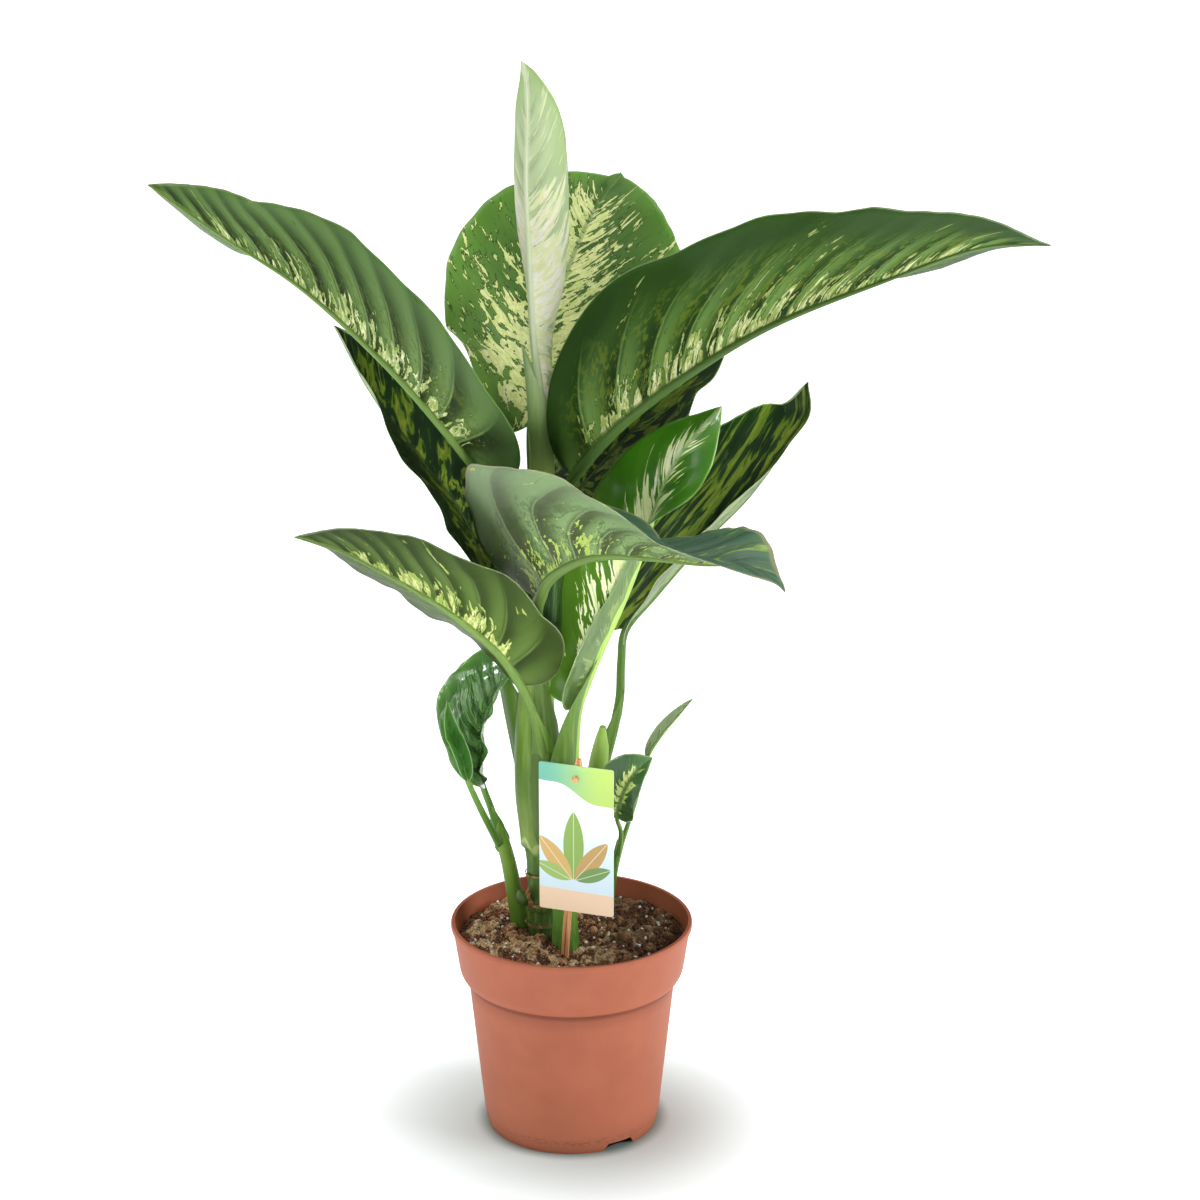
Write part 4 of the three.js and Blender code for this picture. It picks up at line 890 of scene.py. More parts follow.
lookShared = {
    "specular": 0.16, "coat": 0.0, "topRoughness": 0.36, "underRoughness": 0.5, "ribWidth": 2.6, "rim": 0.7,
    "rimWidth": 0.9, "rimColour": (176, 190, 146), "bandReach": 0.8, "mirror": 0.0, "slope": 0.26, "spots": 0.9,
    "jag": 0.9, "ragged": 0.5, "emboss": 0.12, "wrinkle": 0.3,
}


def buildLeaves():
    for seed, (name, shape) in enumerate(leafShapes.items(), start=1):
        leaf = {**leafShared, **shape}
        look = {**lookShared, **leafLooks[name]}
        skin = leafMaterial(name, look, leaf["veins"])
        piece = leafMesh("leaf_" + name, leaf, skin, stalkMaterial(name, look), seed)
        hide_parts(name)
        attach(piece, "root")


buildLeaves()
print("leaves made")


# canes and shoots: stations x, y, z, radius, as in the model

caneShared = {  # the cut and the hollow shape the end of the sheath round the new leaf
    "sides": 44, "step": 1.4, "cutSize": (120, 80, 60), "cutTurn": 1.17, "cutPlace": (-22, 8, 541),
    "hollow": [(-19, 12, 458, 4.8), (-19, 12, 480, 6.2), (-20, 11.5, 505, 6.9), (-23, 9, 540, 6.2),
               (-28, 5, 590, 4.8)],
}
caneShapes = {
    "cane_main": [
        (-21, 1, 104, 7), (-21, 1, 142, 8.8), (-21, 2, 147, 10.2), (-21, 2, 151, 9), (-21, 3, 159, 9.4),
        (-21, 3, 162, 10.6), (-21, 4, 166, 9.6), (-21, 5, 180, 10), (-21, 6, 183, 11.2), (-21, 6, 187, 10.4),
        (-21.5, 6, 206, 11.8), (-22, 6, 210, 13.8), (-22.8, 6, 215, 13.2), (-24.4, 7, 245, 14.8),
        (-25.2, 8, 290, 13.8), (-22.6, 9, 340, 11.6), (-20, 10, 390, 9.6), (-19, 12, 440, 8.6),
        (-19, 12, 480, 8.2), (-20, 11.5, 505, 8.2), (-23, 9, 540, 7), (-28, 5, 578, 5.6)],
    "cane_second": [
        (-4, -24, 104, 6.5), (-4, -24, 143, 9.6), (-4.5, -22, 165, 8.6), (-5.5, -20, 205, 8.8), (-4, -19, 240, 8.4),
        (-3.5, -18.5, 262, 7.6)],
    "shoot_left": [
        (-36, 17, 104, 5.2), (-36.5, 17, 143, 7), (-40.5, 17.5, 165, 5.8), (-44.5, 17.5, 188, 5.2),
        (-48.5, 17, 205, 4.6), (-51, 15.5, 216, 2.6), (-52, 15, 222, 0.8)],
    "shoot_right": [
        (13, 56, 104, 5), (13, 56, 143, 6.5), (14, 57, 180, 6.2), (16.5, 58, 215, 7), (18.5, 59, 242, 7.4),
        (21, 59, 262, 5.6), (22, 58, 276, 2.2)],
    "shoot_small": [(27, 60, 104, 3), (27, 60, 143, 3.6), (30, 62, 165, 3.2), (35, 64.5, 186, 3)],
}
caneLooks = {  # colours up the cane as (height, colour), a streak colour and the record's slot
    "cane_main": ([(140, (58, 86, 28)), (205, (76, 112, 38)), (211, (178, 194, 120)), (214, (124, 150, 66)),
                   (232, (110, 138, 56)), (254, (88, 122, 38)), (400, (152, 182, 86)), (470, (192, 214, 112)),
                   (500, (160, 190, 112)), (560, (178, 204, 146))],
                  (140, 166, 92), "stem"),
    "cane_second": ([(140, (72, 118, 40)), (175, (92, 140, 44)), (240, (140, 174, 60))], (150, 182, 78), "stem_pale"),
    "shoot_left": ([(140, (90, 130, 38)), (200, (116, 152, 52))], (122, 158, 60), "stem"),
    "shoot_right": ([(140, (70, 108, 36)), (215, (108, 144, 50)), (270, (144, 176, 82))], (146, 176, 88), "stem"),
    "shoot_small": ([(140, (84, 126, 42)), (186, (104, 146, 56))], (124, 160, 74), "stem"),
}


def caneMaterial(name):
    steps, streak, _ = caneLooks[name]
    graph = makeMaterial(name + "_skin", 0.28)
    x, y, z = graph.split(graph.objectPlace())
    cloud = graph.noise(graph.vector(x, y, z * 0.3), 80, 3)
    fibre = graph.noise(graph.vector(x, y, z * 0.03), 520, 3, 0.6)
    height = cloud * 0.024 + (z - 0.012)
    base = steps[0][1]
    for (low, _), (high, tint) in zip(steps, steps[1:]):
        base = graph.mix(graph.ramp(height, low * metre, high * metre), base, tint)
    base = graph.mix(graph.ramp(fibre, 0.48, 0.75, 0.0, 0.45), base, streak)
    return graph.finish(base, graph.ramp(cloud, 0.3, 0.7, 0.36, 0.55), graph.bump(fibre, 0.0003, 0.4))


def roundStem(name, stations, materials):
    path = smoothPath(stations, 24)
    along = np.concatenate([[0], np.cumsum(np.linalg.norm(np.diff(path[:, :3], axis=0), axis=1))])
    steps = int(along[-1] / caneShared["step"])
    s = np.linspace(0, along[-1], steps)
    line = np.stack([np.interp(s, along, path[:, k]) for k in range(4)], -1)
    tangent = unit(np.gradient(line[:, :3], axis=0))
    side = unit(np.array([1.0, 0, 0]) - tangent * tangent[:, :1])
    up = np.cross(tangent, side)
    sides = caneShared["sides"]
    points = tubePoints(line[:, :3], side, up, line[:, 3:4], roundAngles(sides))
    return makePiece(name, points, tubeFaces(steps, sides), materials, sharpAngle=60)


def sheathEnd(x, y, z):
    # a corner of the block that cuts the sheath slantwise
    width, depth, high = caneShared["cutSize"]
    across, middle, low = caneShared["cutPlace"]
    cos, sin = math.cos(caneShared["cutTurn"]), math.sin(caneShared["cutTurn"])
    x, z = x * width, (z + 0.5) * high
    return (x * cos + z * sin + across, y * depth + middle, -x * sin + z * cos + low)


def buildCanes():
    for name, stations in caneShapes.items():
        piece = roundStem("stem_" + name, stations, [caneMaterial(name)])
        if name == "cane_main":  # the sheath: cut slantwise, hollow where the new leaf stands
            cutBlock(piece, sheathEnd)
            cutAway(piece, roundStem("cutter", caneShared["hollow"], []))
            piece.data.set_sharp_from_angle(angle=math.radians(50))
        facesOut(piece)
        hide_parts(name)
        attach(piece, "root")


buildCanes()
print("canes made")


# sheaths: the winged foot of a stalk, a part of a tube that hugs the cane and runs out up the stalk

sheathShared = {"rows": 70, "columns": 17, "thickness": 0.7}
sheathShapes = {  # leaf: heights, tube radius low and high, facing in degrees, degrees left and right, wave
    "lower_left": {"z": (206, 322), "radius": (13.6, 8), "facing": -88, "spread": (84, 84), "wave": 0.6},
    "front_twisted": {"z": (214, 360), "radius": (13.8, 8), "facing": -70, "spread": (78, 84), "wave": 0.8},
    "glossy_right": {"z": (196, 350), "radius": (9.6, 10.5), "facing": -10, "spread": (165, 50), "wave": 0.5,
                     "skin": "lower_left"},
    "upper_left": {"z": (372, 452), "radius": (10.5, 5), "facing": -130, "spread": (90, 80), "wave": 0.4},
    "upper_right": {"z": (362, 452), "radius": (11, 5.5), "facing": -62, "spread": (80, 70), "wave": 0.4},
    "outer_right": {"z": (236, 300), "radius": (7.6, 4.2), "facing": -40, "spread": (95, 70), "wave": 0.4},
    "dark_left": {"z": (238, 352), "radius": (12, 11), "facing": 180, "spread": (60, 160), "wave": 0.4},
    "small_left": {"z": (196, 232), "radius": (5.4, 3.2), "facing": -90, "spread": (80, 80), "wave": 0.2},
}


def sheathPiece(name, shape, seed):
    leaf = {**leafShared, **leafShapes[name]}
    rib = Rib(leaf)
    rows, columns = sheathShared["rows"], sheathShared["columns"]
    low, high = shape["z"]
    z = np.linspace(low, high, rows)
    order = np.argsort(rib.points[:, 2], kind="stable")
    centre = np.stack([np.interp(z, rib.points[order, 2], rib.points[order, k]) for k in (0, 1)], -1)
    f = (z - low) / (high - low)
    radius = shape["radius"][0] + (shape["radius"][1] - shape["radius"][0]) * f ** 0.8
    facing = math.radians(shape["facing"])
    out = np.array([math.cos(facing), math.sin(facing)])
    stalkR = leaf["thick"][1] + (leaf["thick"][0] - leaf["thick"][1]) * (1 - f)
    centre = centre + out * (stalkR * 0.72 - radius)[:, None]
    v = np.linspace(-1, 1, columns)[None, :]
    left, right = shape["spread"]
    taper = np.clip(1 - f ** 2.2, 0.06, 1)[:, None] * np.clip((f * 9 + 0.3), 0, 1)[:, None] ** 0.5
    turn = facing + np.radians(np.where(v < 0, left * v, right * v)) * taper
    wave = shape["wave"] * np.sin(f * 21 + seed)[:, None] * np.abs(v) ** 3
    reach = radius[:, None] + (0.5 + 0.9 * f[:, None]) * np.abs(v) ** 3 + wave
    grid = np.stack([centre[:, :1] + reach * np.cos(turn), centre[:, 1:] + reach * np.sin(turn),
                     z[:, None] + 3.0 * np.abs(v) ** 2], -1)
    points = twoFaces(grid, (sheathShared["thickness"] * (1 - 0.75 * np.abs(v) ** 4) / 2)[..., None])
    place = stacked((f * 0.5 - 0.9)[:, None], 0 * reach, 0.0)
    flow = stacked(z[:, None], turn * 9, seed * 2.3)
    piece = makePiece("sheath_" + name, points, sheetFaces(rows, columns),
                      [bpy.data.materials[shape.get("skin", name) + "_stalk"]], None,
                      {"leafPlace": np.vstack([place] * 2), "leafFlow": np.vstack([flow] * 2)}, sharpAngle=60)
    facesOut(piece)
    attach(piece, "root")


def buildSheaths():
    for seed, (name, shape) in enumerate(sheathShapes.items(), start=1):
        sheathPiece(name, shape, seed)


buildSheaths()
print("sheaths made")


# dry remains on the old cane: papery collars at the scars, and a bud in its husk

drySpread = {"step": 2.5, "thickness": 0.35, "seed": 31}
collarShapes = {  # height, cane centre, radius, from and to in degrees, width of the paper
    "collar_high": (186, (-21, 6), 11.3, -205, 12, 2.6),
    "collar_middle": (165, (-21, 3), 10.7, -190, 20, 3.4),
    "collar_low": (150, (-21, 2), 10.4, -200, 40, 3.0),
}
budShape = {"centre": (-34, -3.5, 170), "lean": (-0.4, -0.3, 1.0), "length": 15, "radius": 4.8, "rows": 26,
            "sides": 24, "huskRows": 28, "huskColumns": 11, "huskThickness": 0.4}


def dryMaterial():
    graph = makeMaterial("dryHusk", 0.25)
    x, y, z = graph.split(graph.objectPlace())
    fibre = graph.noise(graph.vector(x, y, z * 0.2), 1400, 3, 0.6)
    cloud = graph.noise(graph.vector(x, y, z), 220, 2)
    base = graph.mix(graph.ramp(cloud, 0.35, 0.65), (134, 98, 56), (186, 152, 104))
    base = graph.mix(graph.ramp(fibre, 0.5, 0.72, 0.0, 0.7), base, (92, 62, 36))
    return graph.finish(base, graph.ramp(fibre, 0.3, 0.7, 0.6, 0.85), graph.bump(fibre, 0.0003, 0.7))


def budMaterial():
    graph = makeMaterial("budSkin", 0.45)
    x, y, z = graph.split(graph.objectPlace())
    fibre = graph.noise(graph.vector(x, y, z * 0.1), 700, 2)
    base = graph.mix(graph.ramp(z, 0.162, 0.182), (40, 62, 24), (86, 118, 44))
    base = graph.mix(graph.ramp(fibre, 0.5, 0.75, 0.0, 0.5), base, (112, 140, 66))
    return graph.finish(base, graph.ramp(fibre, 0.3, 0.7, 0.35, 0.5), graph.bump(fibre, 0.0003, 0.4))


def thinPiece(name, grid, thickness, material):
    piece = makePiece(name, twoFaces(grid, thickness / 2), sheetFaces(*grid.shape[:2]), [material],
                      sharpAngle=60)
    facesOut(piece)
    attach(piece, "root")


def buildDryParts():
    dry = dryMaterial()
    draw = np.random.default_rng(drySpread["seed"])
    for name, (z, centre, radius, start, end, wide) in collarShapes.items():
        count = int((end - start) / drySpread["step"])
        turn = np.radians(np.linspace(start, end, count))
        ragged = np.convolve(draw.uniform(0.25, 1.0, count + 4), np.ones(5) / 5, "valid")
        ragged = ragged * np.sin(np.linspace(0.05, np.pi - 0.05, count)) ** 0.4 * wide
        wobble = np.convolve(draw.uniform(-1, 1, count + 8), np.ones(9) / 9, "valid")
        v = np.linspace(0, 1, 5)[None, :]
        reach = radius + 0.25 + (0.5 + 1.6 * wobble[:, None]) * v ** 1.5
        height = z + 0.9 * wobble[:, None] + ragged[:, None] * (v - 0.35)
        grid = np.stack([centre[0] + reach * np.cos(turn)[:, None], centre[1] + reach * np.sin(turn)[:, None],
                         height], -1)
        thinPiece(name, grid, drySpread["thickness"], dry)
    b = budShape
    axis = Vector(b["lean"]).normalized()
    side = axis.orthogonal().normalized()
    other = axis.cross(side)
    axis, side, other, centre = [np.array(v) for v in (axis, side, other, b["centre"])]
    t = np.linspace(0.02, 0.98, b["rows"])
    radius = b["radius"] * np.sin(np.pi * t ** 0.75) ** 0.8
    line = centre + axis * ((t - 0.45) * b["length"])[:, None]
    points = tubePoints(line, side[None], other[None], radius[:, None], roundAngles(b["sides"]))
    bud = makePiece("bud_green", points, tubeFaces(b["rows"], b["sides"]), [budMaterial()])
    facesOut(bud)
    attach(bud, "root")
    # the husk stands round the bud's right side and curls over at the top
    t = np.linspace(0, 1, b["huskRows"])[:, None]
    v = np.linspace(-1, 1, b["huskColumns"])[None, :]
    turn = np.radians(-8) + v * np.radians(56) * (1 - 0.4 * t)
    reach = 5.4 + 2.4 * t ** 2 + 0.6 * np.sin(9 * t + 3 * v)
    rise = (t - 0.42) * b["length"] * 1.15 + 1.2 * np.cos(2 * v) * t
    grid = (centre + axis * rise[..., None] + np.array([1.0, 0, 0]) * (reach * np.cos(turn))[..., None]
            + np.array([0, 1.0, 0]) * (reach * np.sin(turn))[..., None])
    thinPiece("bud_husk", grid, b["huskThickness"], dry)


buildDryParts()
print("dry parts made")


# pot

potShape = {
    "sides": 200, "rim": 85, "height": 153, "foot": 60, "shoulder": 72.9, "shoulderZ": 110, "wall": 2.4,
    "notch": (22, 9, 7), "notchMiddle": 2.2, "notchAngles": (-56, 52, 160),
}
potPaint = {
    "clay": (174, 98, 71), "light": (183, 106, 78), "streak": (214, 140, 112), "dirt": (86, 52, 40),
    # the colours of the painted shade below the band and in its crease
    "shadeBelowBand": (112, 54, 38), "paintedCreaseShade": (96, 44, 30), "foot": (212, 128, 98), "footCloud": (130, 70, 54),
    # and the colour of the painted shade inside the foot's recess
    "paintedRecessShade": (26, 12, 8),
}


def potMaterial():
    graph = makeMaterial("potPlastic", 0.25)
    place = graph.objectPlace()
    x, y, z = graph.split(place)
    mottle = graph.noise(place, 26, 3, 0.55)
    grain = graph.noise(place, 900, 2, 0.6)
    streak = graph.noise(graph.vector(x, y, z * 0.12), 130, 2, 0.5)
    dirtBand = graph.ramp(z, 0.004, 0.009) * graph.ramp(z, 0.0125, 0.01)  # near the foot, in a broken line
    specks = graph.ramp(graph.noise(graph.vector(x, y, z * 4.0), 300, 3, 0.7), 0.49, 0.62)
    # painted shade: a dark line in the crease under the band, and a softer darkening of the wall below it, where the
    # band's overhang keeps off the light from above
    paintedCreaseShade = graph.ramp(z, 0.1065, 0.1095) * graph.ramp(z, 0.1135, 0.111)
    under = graph.ramp(z, 0.096, 0.111) * graph.ramp(z, 0.1135, 0.1115)
    # painted shade: near-black inside the foot ring under the pot, seen through the notches
    paintedRecessShade = graph.ramp(graph.length(graph.vector(x, y)), 0.0585, 0.057) * graph.ramp(z, 0.009, 0.007)
    low = graph.ramp(z, 0.03, 0.0) * graph.ramp(mottle, 0.35, 0.7)
    base = graph.layers(
        potPaint["clay"], (graph.ramp(mottle, 0.3, 0.7), potPaint["light"]),
        (graph.ramp(streak, 0.6, 0.8, 0.0, 0.05), potPaint["streak"]), (dirtBand * specks * 0.85, potPaint["dirt"]),
        (under * 0.35, potPaint["shadeBelowBand"]), (paintedCreaseShade * 0.5, potPaint["paintedCreaseShade"]),
        (graph.ramp(z, 0.05, 0.0, 0.0, 0.4), potPaint["foot"]), (low * 0.12, potPaint["footCloud"]),
        (paintedRecessShade, potPaint["paintedRecessShade"]))
    return graph.finish(base, graph.ramp(mottle, 0.3, 0.7, 0.5, 0.62), graph.bump(grain, 0.00015, 0.35))


def buildPot():
    p = potShape
    profile = [
        (0, 0), (12, 0), (13, 1.6), (p["foot"] - 5, 1.6), (p["foot"] - 4, 0), (p["foot"], 0), (p["foot"] + 1.2, 4),
        (p["foot"] + 2.4, 11), (p["shoulder"], p["shoulderZ"]), (75.2, 112), (76.7, 113.4), (77.8, 115.2),
        (78.7, 117.4), (79.3, 120), (83.5, 148), (84.6, 148.6), (p["rim"], 149.8), (p["rim"], 151.8),
        (p["rim"] - 0.5, p["height"]), (p["rim"] - 1.6 - p["wall"] / 2, p["height"]), (82, 151.6), (77.2, 120),
        (75.6, 116), (73, 113.2), (70.8, 111.4), (60.3, 10), (58.4, 5.4), (0, 5.4)]
    inner = profile[1:-1]
    points = [(r * math.cos(a), r * math.sin(a), z) for r, z in inner for a in roundAngles(p["sides"])]
    points += [(0, 0, profile[0][1]), (0, 0, profile[-1][1])]
    piece = makePiece("pot_shell", points, turnedFaces(len(inner), p["sides"]), [potMaterial()])
    facesOut(piece)
    wide, deep, high = p["notch"]
    for degrees in p["notchAngles"]:
        a = math.radians(degrees)

        def notchCorner(x, y, z):
            aside = x * wide * (1.25 if z < 0 else 0.85)  # sloping ends
            radius = p["foot"] + y * deep
            return (radius * math.cos(a) - aside * math.sin(a), radius * math.sin(a) + aside * math.cos(a),
                    z * high + p["notchMiddle"])

        cutBlock(piece, notchCorner)
    piece.data.set_sharp_from_angle(angle=math.radians(28))
    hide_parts("pot")
    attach(piece, "root")


buildPot()
print("pot made")


# soil: the model's heap with fine lumps, then clods, crumbs and perlite scattered by Geometry Nodes

soilShape = {
    "top": 144, "rings": 90, "sides": 240, "edge": 79.6, "lump": 1.5, "grain": 0.6,
    "levels": [(57.6, 5.9), (59.6, 10.4), (70.1, 111.8), (72.4, 113.7), (75, 116.5), (76.6, 120.4)],
    "patchStep": 2.0, "stems": [(-21, 1, 12), (-4, -24, 12), (-36, 17, 9), (13, 56, 9), (27, 60, 6), (-12, -48, 5)],
}
soilTints = {"lit": (240, 214, 168), "darkerRight": (62, 38, 24), "gap": (34, 20, 13), "pit": (28, 18, 12)}
soilPaint = {  # dark, light and crust
    "soilBed": ((42, 23, 13), (140, 84, 50), (246, 212, 164)),
    "soilClod": ((100, 60, 36), (194, 130, 86), (234, 190, 142)),
    "soilCrust": ((176, 130, 88), (238, 200, 152), (250, 224, 180)),
    "soilCrumb": ((48, 27, 16), (138, 84, 52), (116, 78, 50)),
}
perlitePaint = {"pore": (226, 220, 204), "white": (254, 253, 248)}
soilMounds = [  # x, y, radius, height of the crusted clods
    (-52, 44, 16, 6), (-62, 4, 15, 6), (-36, -31, 21, 7), (-10, -57, 14, 5), (45, -8, 22, 6), (22, -42, 17, 5),
    (40, 54, 16, 5), (-8, 44, 13, 4), (62, 24, 10, 4), (-62, -24, 10, 4), (8, -30, 10, 3),
]


def crustAt(x, y):
    # how much a place belongs to a clod, with a broken outline
    wobble = noise.fractal(Vector((x * 0.12, y * 0.12, 5.7)), 0.9, 2.0, 4)
    share = 0.0
    for cx, cy, radius, _ in soilMounds:
        d = math.hypot(x - cx, (y - cy) * 1.25) / radius
        share = max(share, 1.0 - d + 0.9 * wobble)
    return min(max(share * 2.5, 0.0), 1.0)


def soilHeight(x, y):
    r = math.hypot(x, y) / 78
    humps = 1.1 * math.sin(x * 0.13 + 0.6) * math.cos(y * 0.11 + 0.4)
    heap = (1 - r * r) * 2 - y * 0.012 + humps + 0.7 * math.sin(x * 0.31 + y * 0.27)
    fine = noise.fractal(Vector((x * 0.09, y * 0.09, 3.1)), 0.8, 2.1, 5) * soilShape["lump"]
    grit = noise.fractal(Vector((x * 0.45, y * 0.45, 8.2)), 0.7, 2.0, 3) * soilShape["grain"]
    lift = 0.0
    for cx, cy, radius, height in soilMounds:
        d = math.hypot(x - cx, (y - cy) * 1.2) / radius
        if d < 1.3:
            lift = max(lift, height * (1 - (d / 1.3) ** 2) ** 0.6)
    clod = lift * (0.75 + 0.6 * noise.fractal(Vector((x * 0.16, y * 0.16, 1.3)), 0.9, 2.0, 4))
    wall = min(1.0, max(0.0, (79 - math.hypot(x, y)) / 6))
    return soilShape["top"] - 4 + heap + fine + grit + clod * wall


def soilMaterial(name):
    dark, light, crust = soilPaint[name]
    graph = makeMaterial(name, 0.25)
    place = graph.objectPlace()
    broad = graph.split(graph.read("crust"))[0] if name == "soilBed" else graph.noise(place, 90, 3, 0.6)
    middle = graph.noise(place, 260, 4, 0.65)
    fine = graph.noise(place, 1500, 3, 0.7)
    grain = graph.noise(place, 760, 3, 0.65)
    pale = graph.ramp(broad, 0.25, 0.85) * graph.ramp(middle, 0.28, 0.62)
    # darker towards the right-hand (+X) side of the soil, with a wavy edge
    darkerRight = graph.noise(place, 45, 2) * 0.06 + graph.split(place)[0]
    base = graph.layers(
        dark, (graph.ramp(middle, 0.35, 0.65), light), (pale * 0.85, crust),
        (graph.ramp(grain, 0.53, 0.62) * (pale * 0.65 + 0.35), soilTints["lit"]),
        (graph.ramp(darkerRight, 0.035, 0.075, 0.0, 0.6), soilTints["darkerRight"]),
        (graph.ramp(grain, 0.45, 0.37, 0.0, 0.7), soilTints["gap"]),
        (graph.ramp(fine, 0.42, 0.3, 0.0, 0.4), soilTints["pit"]))
    return graph.finish(base, graph.ramp(fine, 0.3, 0.7, 0.7, 0.95), graph.bump(grain * 0.8 + middle, 0.0018, 0.9))


def perliteMaterial():
    graph = makeMaterial("perlite", 0.4)
    pores = graph.noise(graph.objectPlace(), 1800, 3, 0.6)
    base = graph.mix(graph.ramp(pores, 0.35, 0.6), perlitePaint["pore"], perlitePaint["white"])
    return graph.finish(base, graph.ramp(pores, 0.3, 0.7, 0.6, 0.85), graph.bump(pores, 0.0005, 0.8))


def soilBody(material):
    s = soilShape
    angles = roundAngles(s["sides"])
    radii = s["edge"] * (1 - np.linspace(0, 1, s["rings"] + 1)[:-1])
    points = [(r * math.cos(a), r * math.sin(a), z) for r, z in s["levels"] for a in angles]
    for r in radii:
        for a in angles:
            x, y = r * math.cos(a), r * math.sin(a)
            points.append((x, y, soilHeight(x, y)))
    points += [(0, 0, s["levels"][0][1]), (0, 0, soilHeight(0, 0))]
    faces = turnedFaces(len(s["levels"]) + len(radii), s["sides"])
    crust = [(crustAt(x, y), 0, 0) for x, y, _ in points]
    piece = makePiece("soil_bed", points, faces, [material], places={"crust": crust})
    facesOut(piece)
    return piece


def soilPatch(edge, wanted=None):
    # the soil's top as a surface to scatter on, left open round the stems; wanted picks a part of it
    points, faces, step = [], [], soilShape["patchStep"]
    n = int(edge / step)
    index = {}
    for i in range(-n, n + 1):
        for k in range(-n, n + 1):
            x, y = i * step, k * step
            clear = all(math.hypot(x - cx, y - cy) > r for cx, cy, r in soilShape["stems"])
            if math.hypot(x, y) < edge and clear and (wanted is None or wanted(x, y)):
                index[i, k] = len(points)
                points.append((x, y, soilHeight(x, y)))
    for (i, k), a in index.items():
        others = [index.get(c) for c in ((i + 1, k), (i + 1, k + 1), (i, k + 1))]
        if None not in others:
            faces.append((a, *others))
    return makePiece("patch", points, faces, [])


scatterLabels = "Density, Small, Large, Flat, Sink, Rough, Seed, Detail"
scatterValues = {  # in the labels' order: numbers per square metre, sizes in metres
    "soil_clods": (4200.0, 0.0016, 0.005, 0.75, -0.0004, 0.0036, 4, 3),
    "soil_crust": (340000.0, 0.0003, 0.0009, 0.85, 0.0, 0.0003, 9, 2),
    "soil_crumbs": (90000.0, 0.0005, 0.0017, 0.8, 0.0, 0.0009, 12, 2),
    "soil_perlite": (30000.0, 0.0003, 0.0012, 0.9, 0.0007, 0.0004, 21, 2),
    "soil_grit": (2600.0, 0.0007, 0.0014, 0.8, 0.0006, 0.0006, 33, 2),
}


def scatterTree():
    # rough lumps on a surface
    graph, given, made = makeGroup("lumps", "Geometry, " + scatterLabels + ", Material", "Geometry",
                                   "GeometryNodeTree")
    spots = graph.add("GeometryNodeDistributePointsOnFaces", {
        "Mesh": given["Geometry"], "Density": given["Density"], "Seed": given["Seed"]})
    ball = graph.add("GeometryNodeMeshIcoSphere", {"Radius": 1.0, "Subdivisions": given["Detail"]})
    size = graph.get("FunctionNodeRandomValue", {2: given["Small"], 3: given["Large"], "Seed": given["Seed"]}, 1,
                     data_type="FLOAT")
    turn = graph.get("FunctionNodeRandomValue", {0: (0.0, 0.0, 0.0), 1: (6.28, 6.28, 6.28),
                                                 "Seed": given["Seed"]}, data_type="FLOAT_VECTOR")
    placed = graph.add("GeometryNodeInstanceOnPoints", {
        "Points": spots, "Instance": ball, "Rotation": turn,
        "Scale": graph.vector(size, size, size * given["Flat"])})
    real = graph.add("GeometryNodeRealizeInstances", {"Geometry": placed})
    # each point moves along its normal by a noise
    bumps = graph.noise(graph.add("GeometryNodeInputPosition"), 420.0, 3.0, 0.7)
    normal = graph.add("GeometryNodeInputNormal")
    move = graph.add("ShaderNodeVectorMath", {0: normal}, operation="SCALE")
    graph.feed(move.inputs["Scale"], (bumps - 0.5) * given["Rough"])
    total = graph.add("ShaderNodeVectorMath", {0: move, 1: graph.vector(z=given["Sink"])}, operation="ADD")
    moved = graph.add("GeometryNodeSetPosition", {"Geometry": real, "Offset": total})
    smooth = graph.add("GeometryNodeSetShadeSmooth", {"Geometry": moved})
    painted = graph.add("GeometryNodeSetMaterial", {"Geometry": smooth, "Material": given["Material"]})
    graph.feed(made["Geometry"], painted)
    return graph.tree


def scatter(name, tree, patch, values, material):
    piece = bpy.data.objects.new(name, patch.data.copy())
    bpy.context.scene.collection.objects.link(piece)
    change = piece.modifiers.new("scatter", "NODES")
    change.node_group = tree
    sockets = {s.name: s.identifier for s in tree.interface.items_tree if s.in_out == "INPUT"}
    for label, value in zip(scatterLabels.split(", "), values):
        change[sockets[label]] = value
    change[sockets["Material"]] = material
    bakeModifiers(piece)
    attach(piece, "root")


def buildSoil():
    bed = soilBody(soilMaterial("soilBed"))
    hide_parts("soil")
    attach(bed, "root")

    def spots(x, y):  # loose groups of perlite
        return noise.fractal(Vector((x * 0.07, y * 0.07, 12.5)), 0.9, 2.0, 3) + 0.35 * crustAt(x, y) > 0.22

    patches = {
        "soil_clods": soilPatch(75),
        "soil_crust": soilPatch(76, lambda x, y: crustAt(x, y) > 0.5),
        "soil_crumbs": soilPatch(77, lambda x, y: crustAt(x, y) < 0.6),
        "soil_perlite": soilPatch(76, spots),
        "soil_grit": soilPatch(76),
    }
    perlite = perliteMaterial()
    looks = {
        "soil_clods": soilMaterial("soilClod"), "soil_crust": soilMaterial("soilCrust"),
        "soil_crumbs": soilMaterial("soilCrumb"), "soil_perlite": perlite, "soil_grit": perlite,
    }
    tree = scatterTree()
    for name, values in scatterValues.items():
        scatter(name, tree, patches[name], values, looks[name])
    for patch in patches.values():
        bpy.data.objects.remove(patch)


buildSoil()
print("soil made")


# label: a card on a wooden stake; drawn facing -Y about the origin, then turned and carried to its place

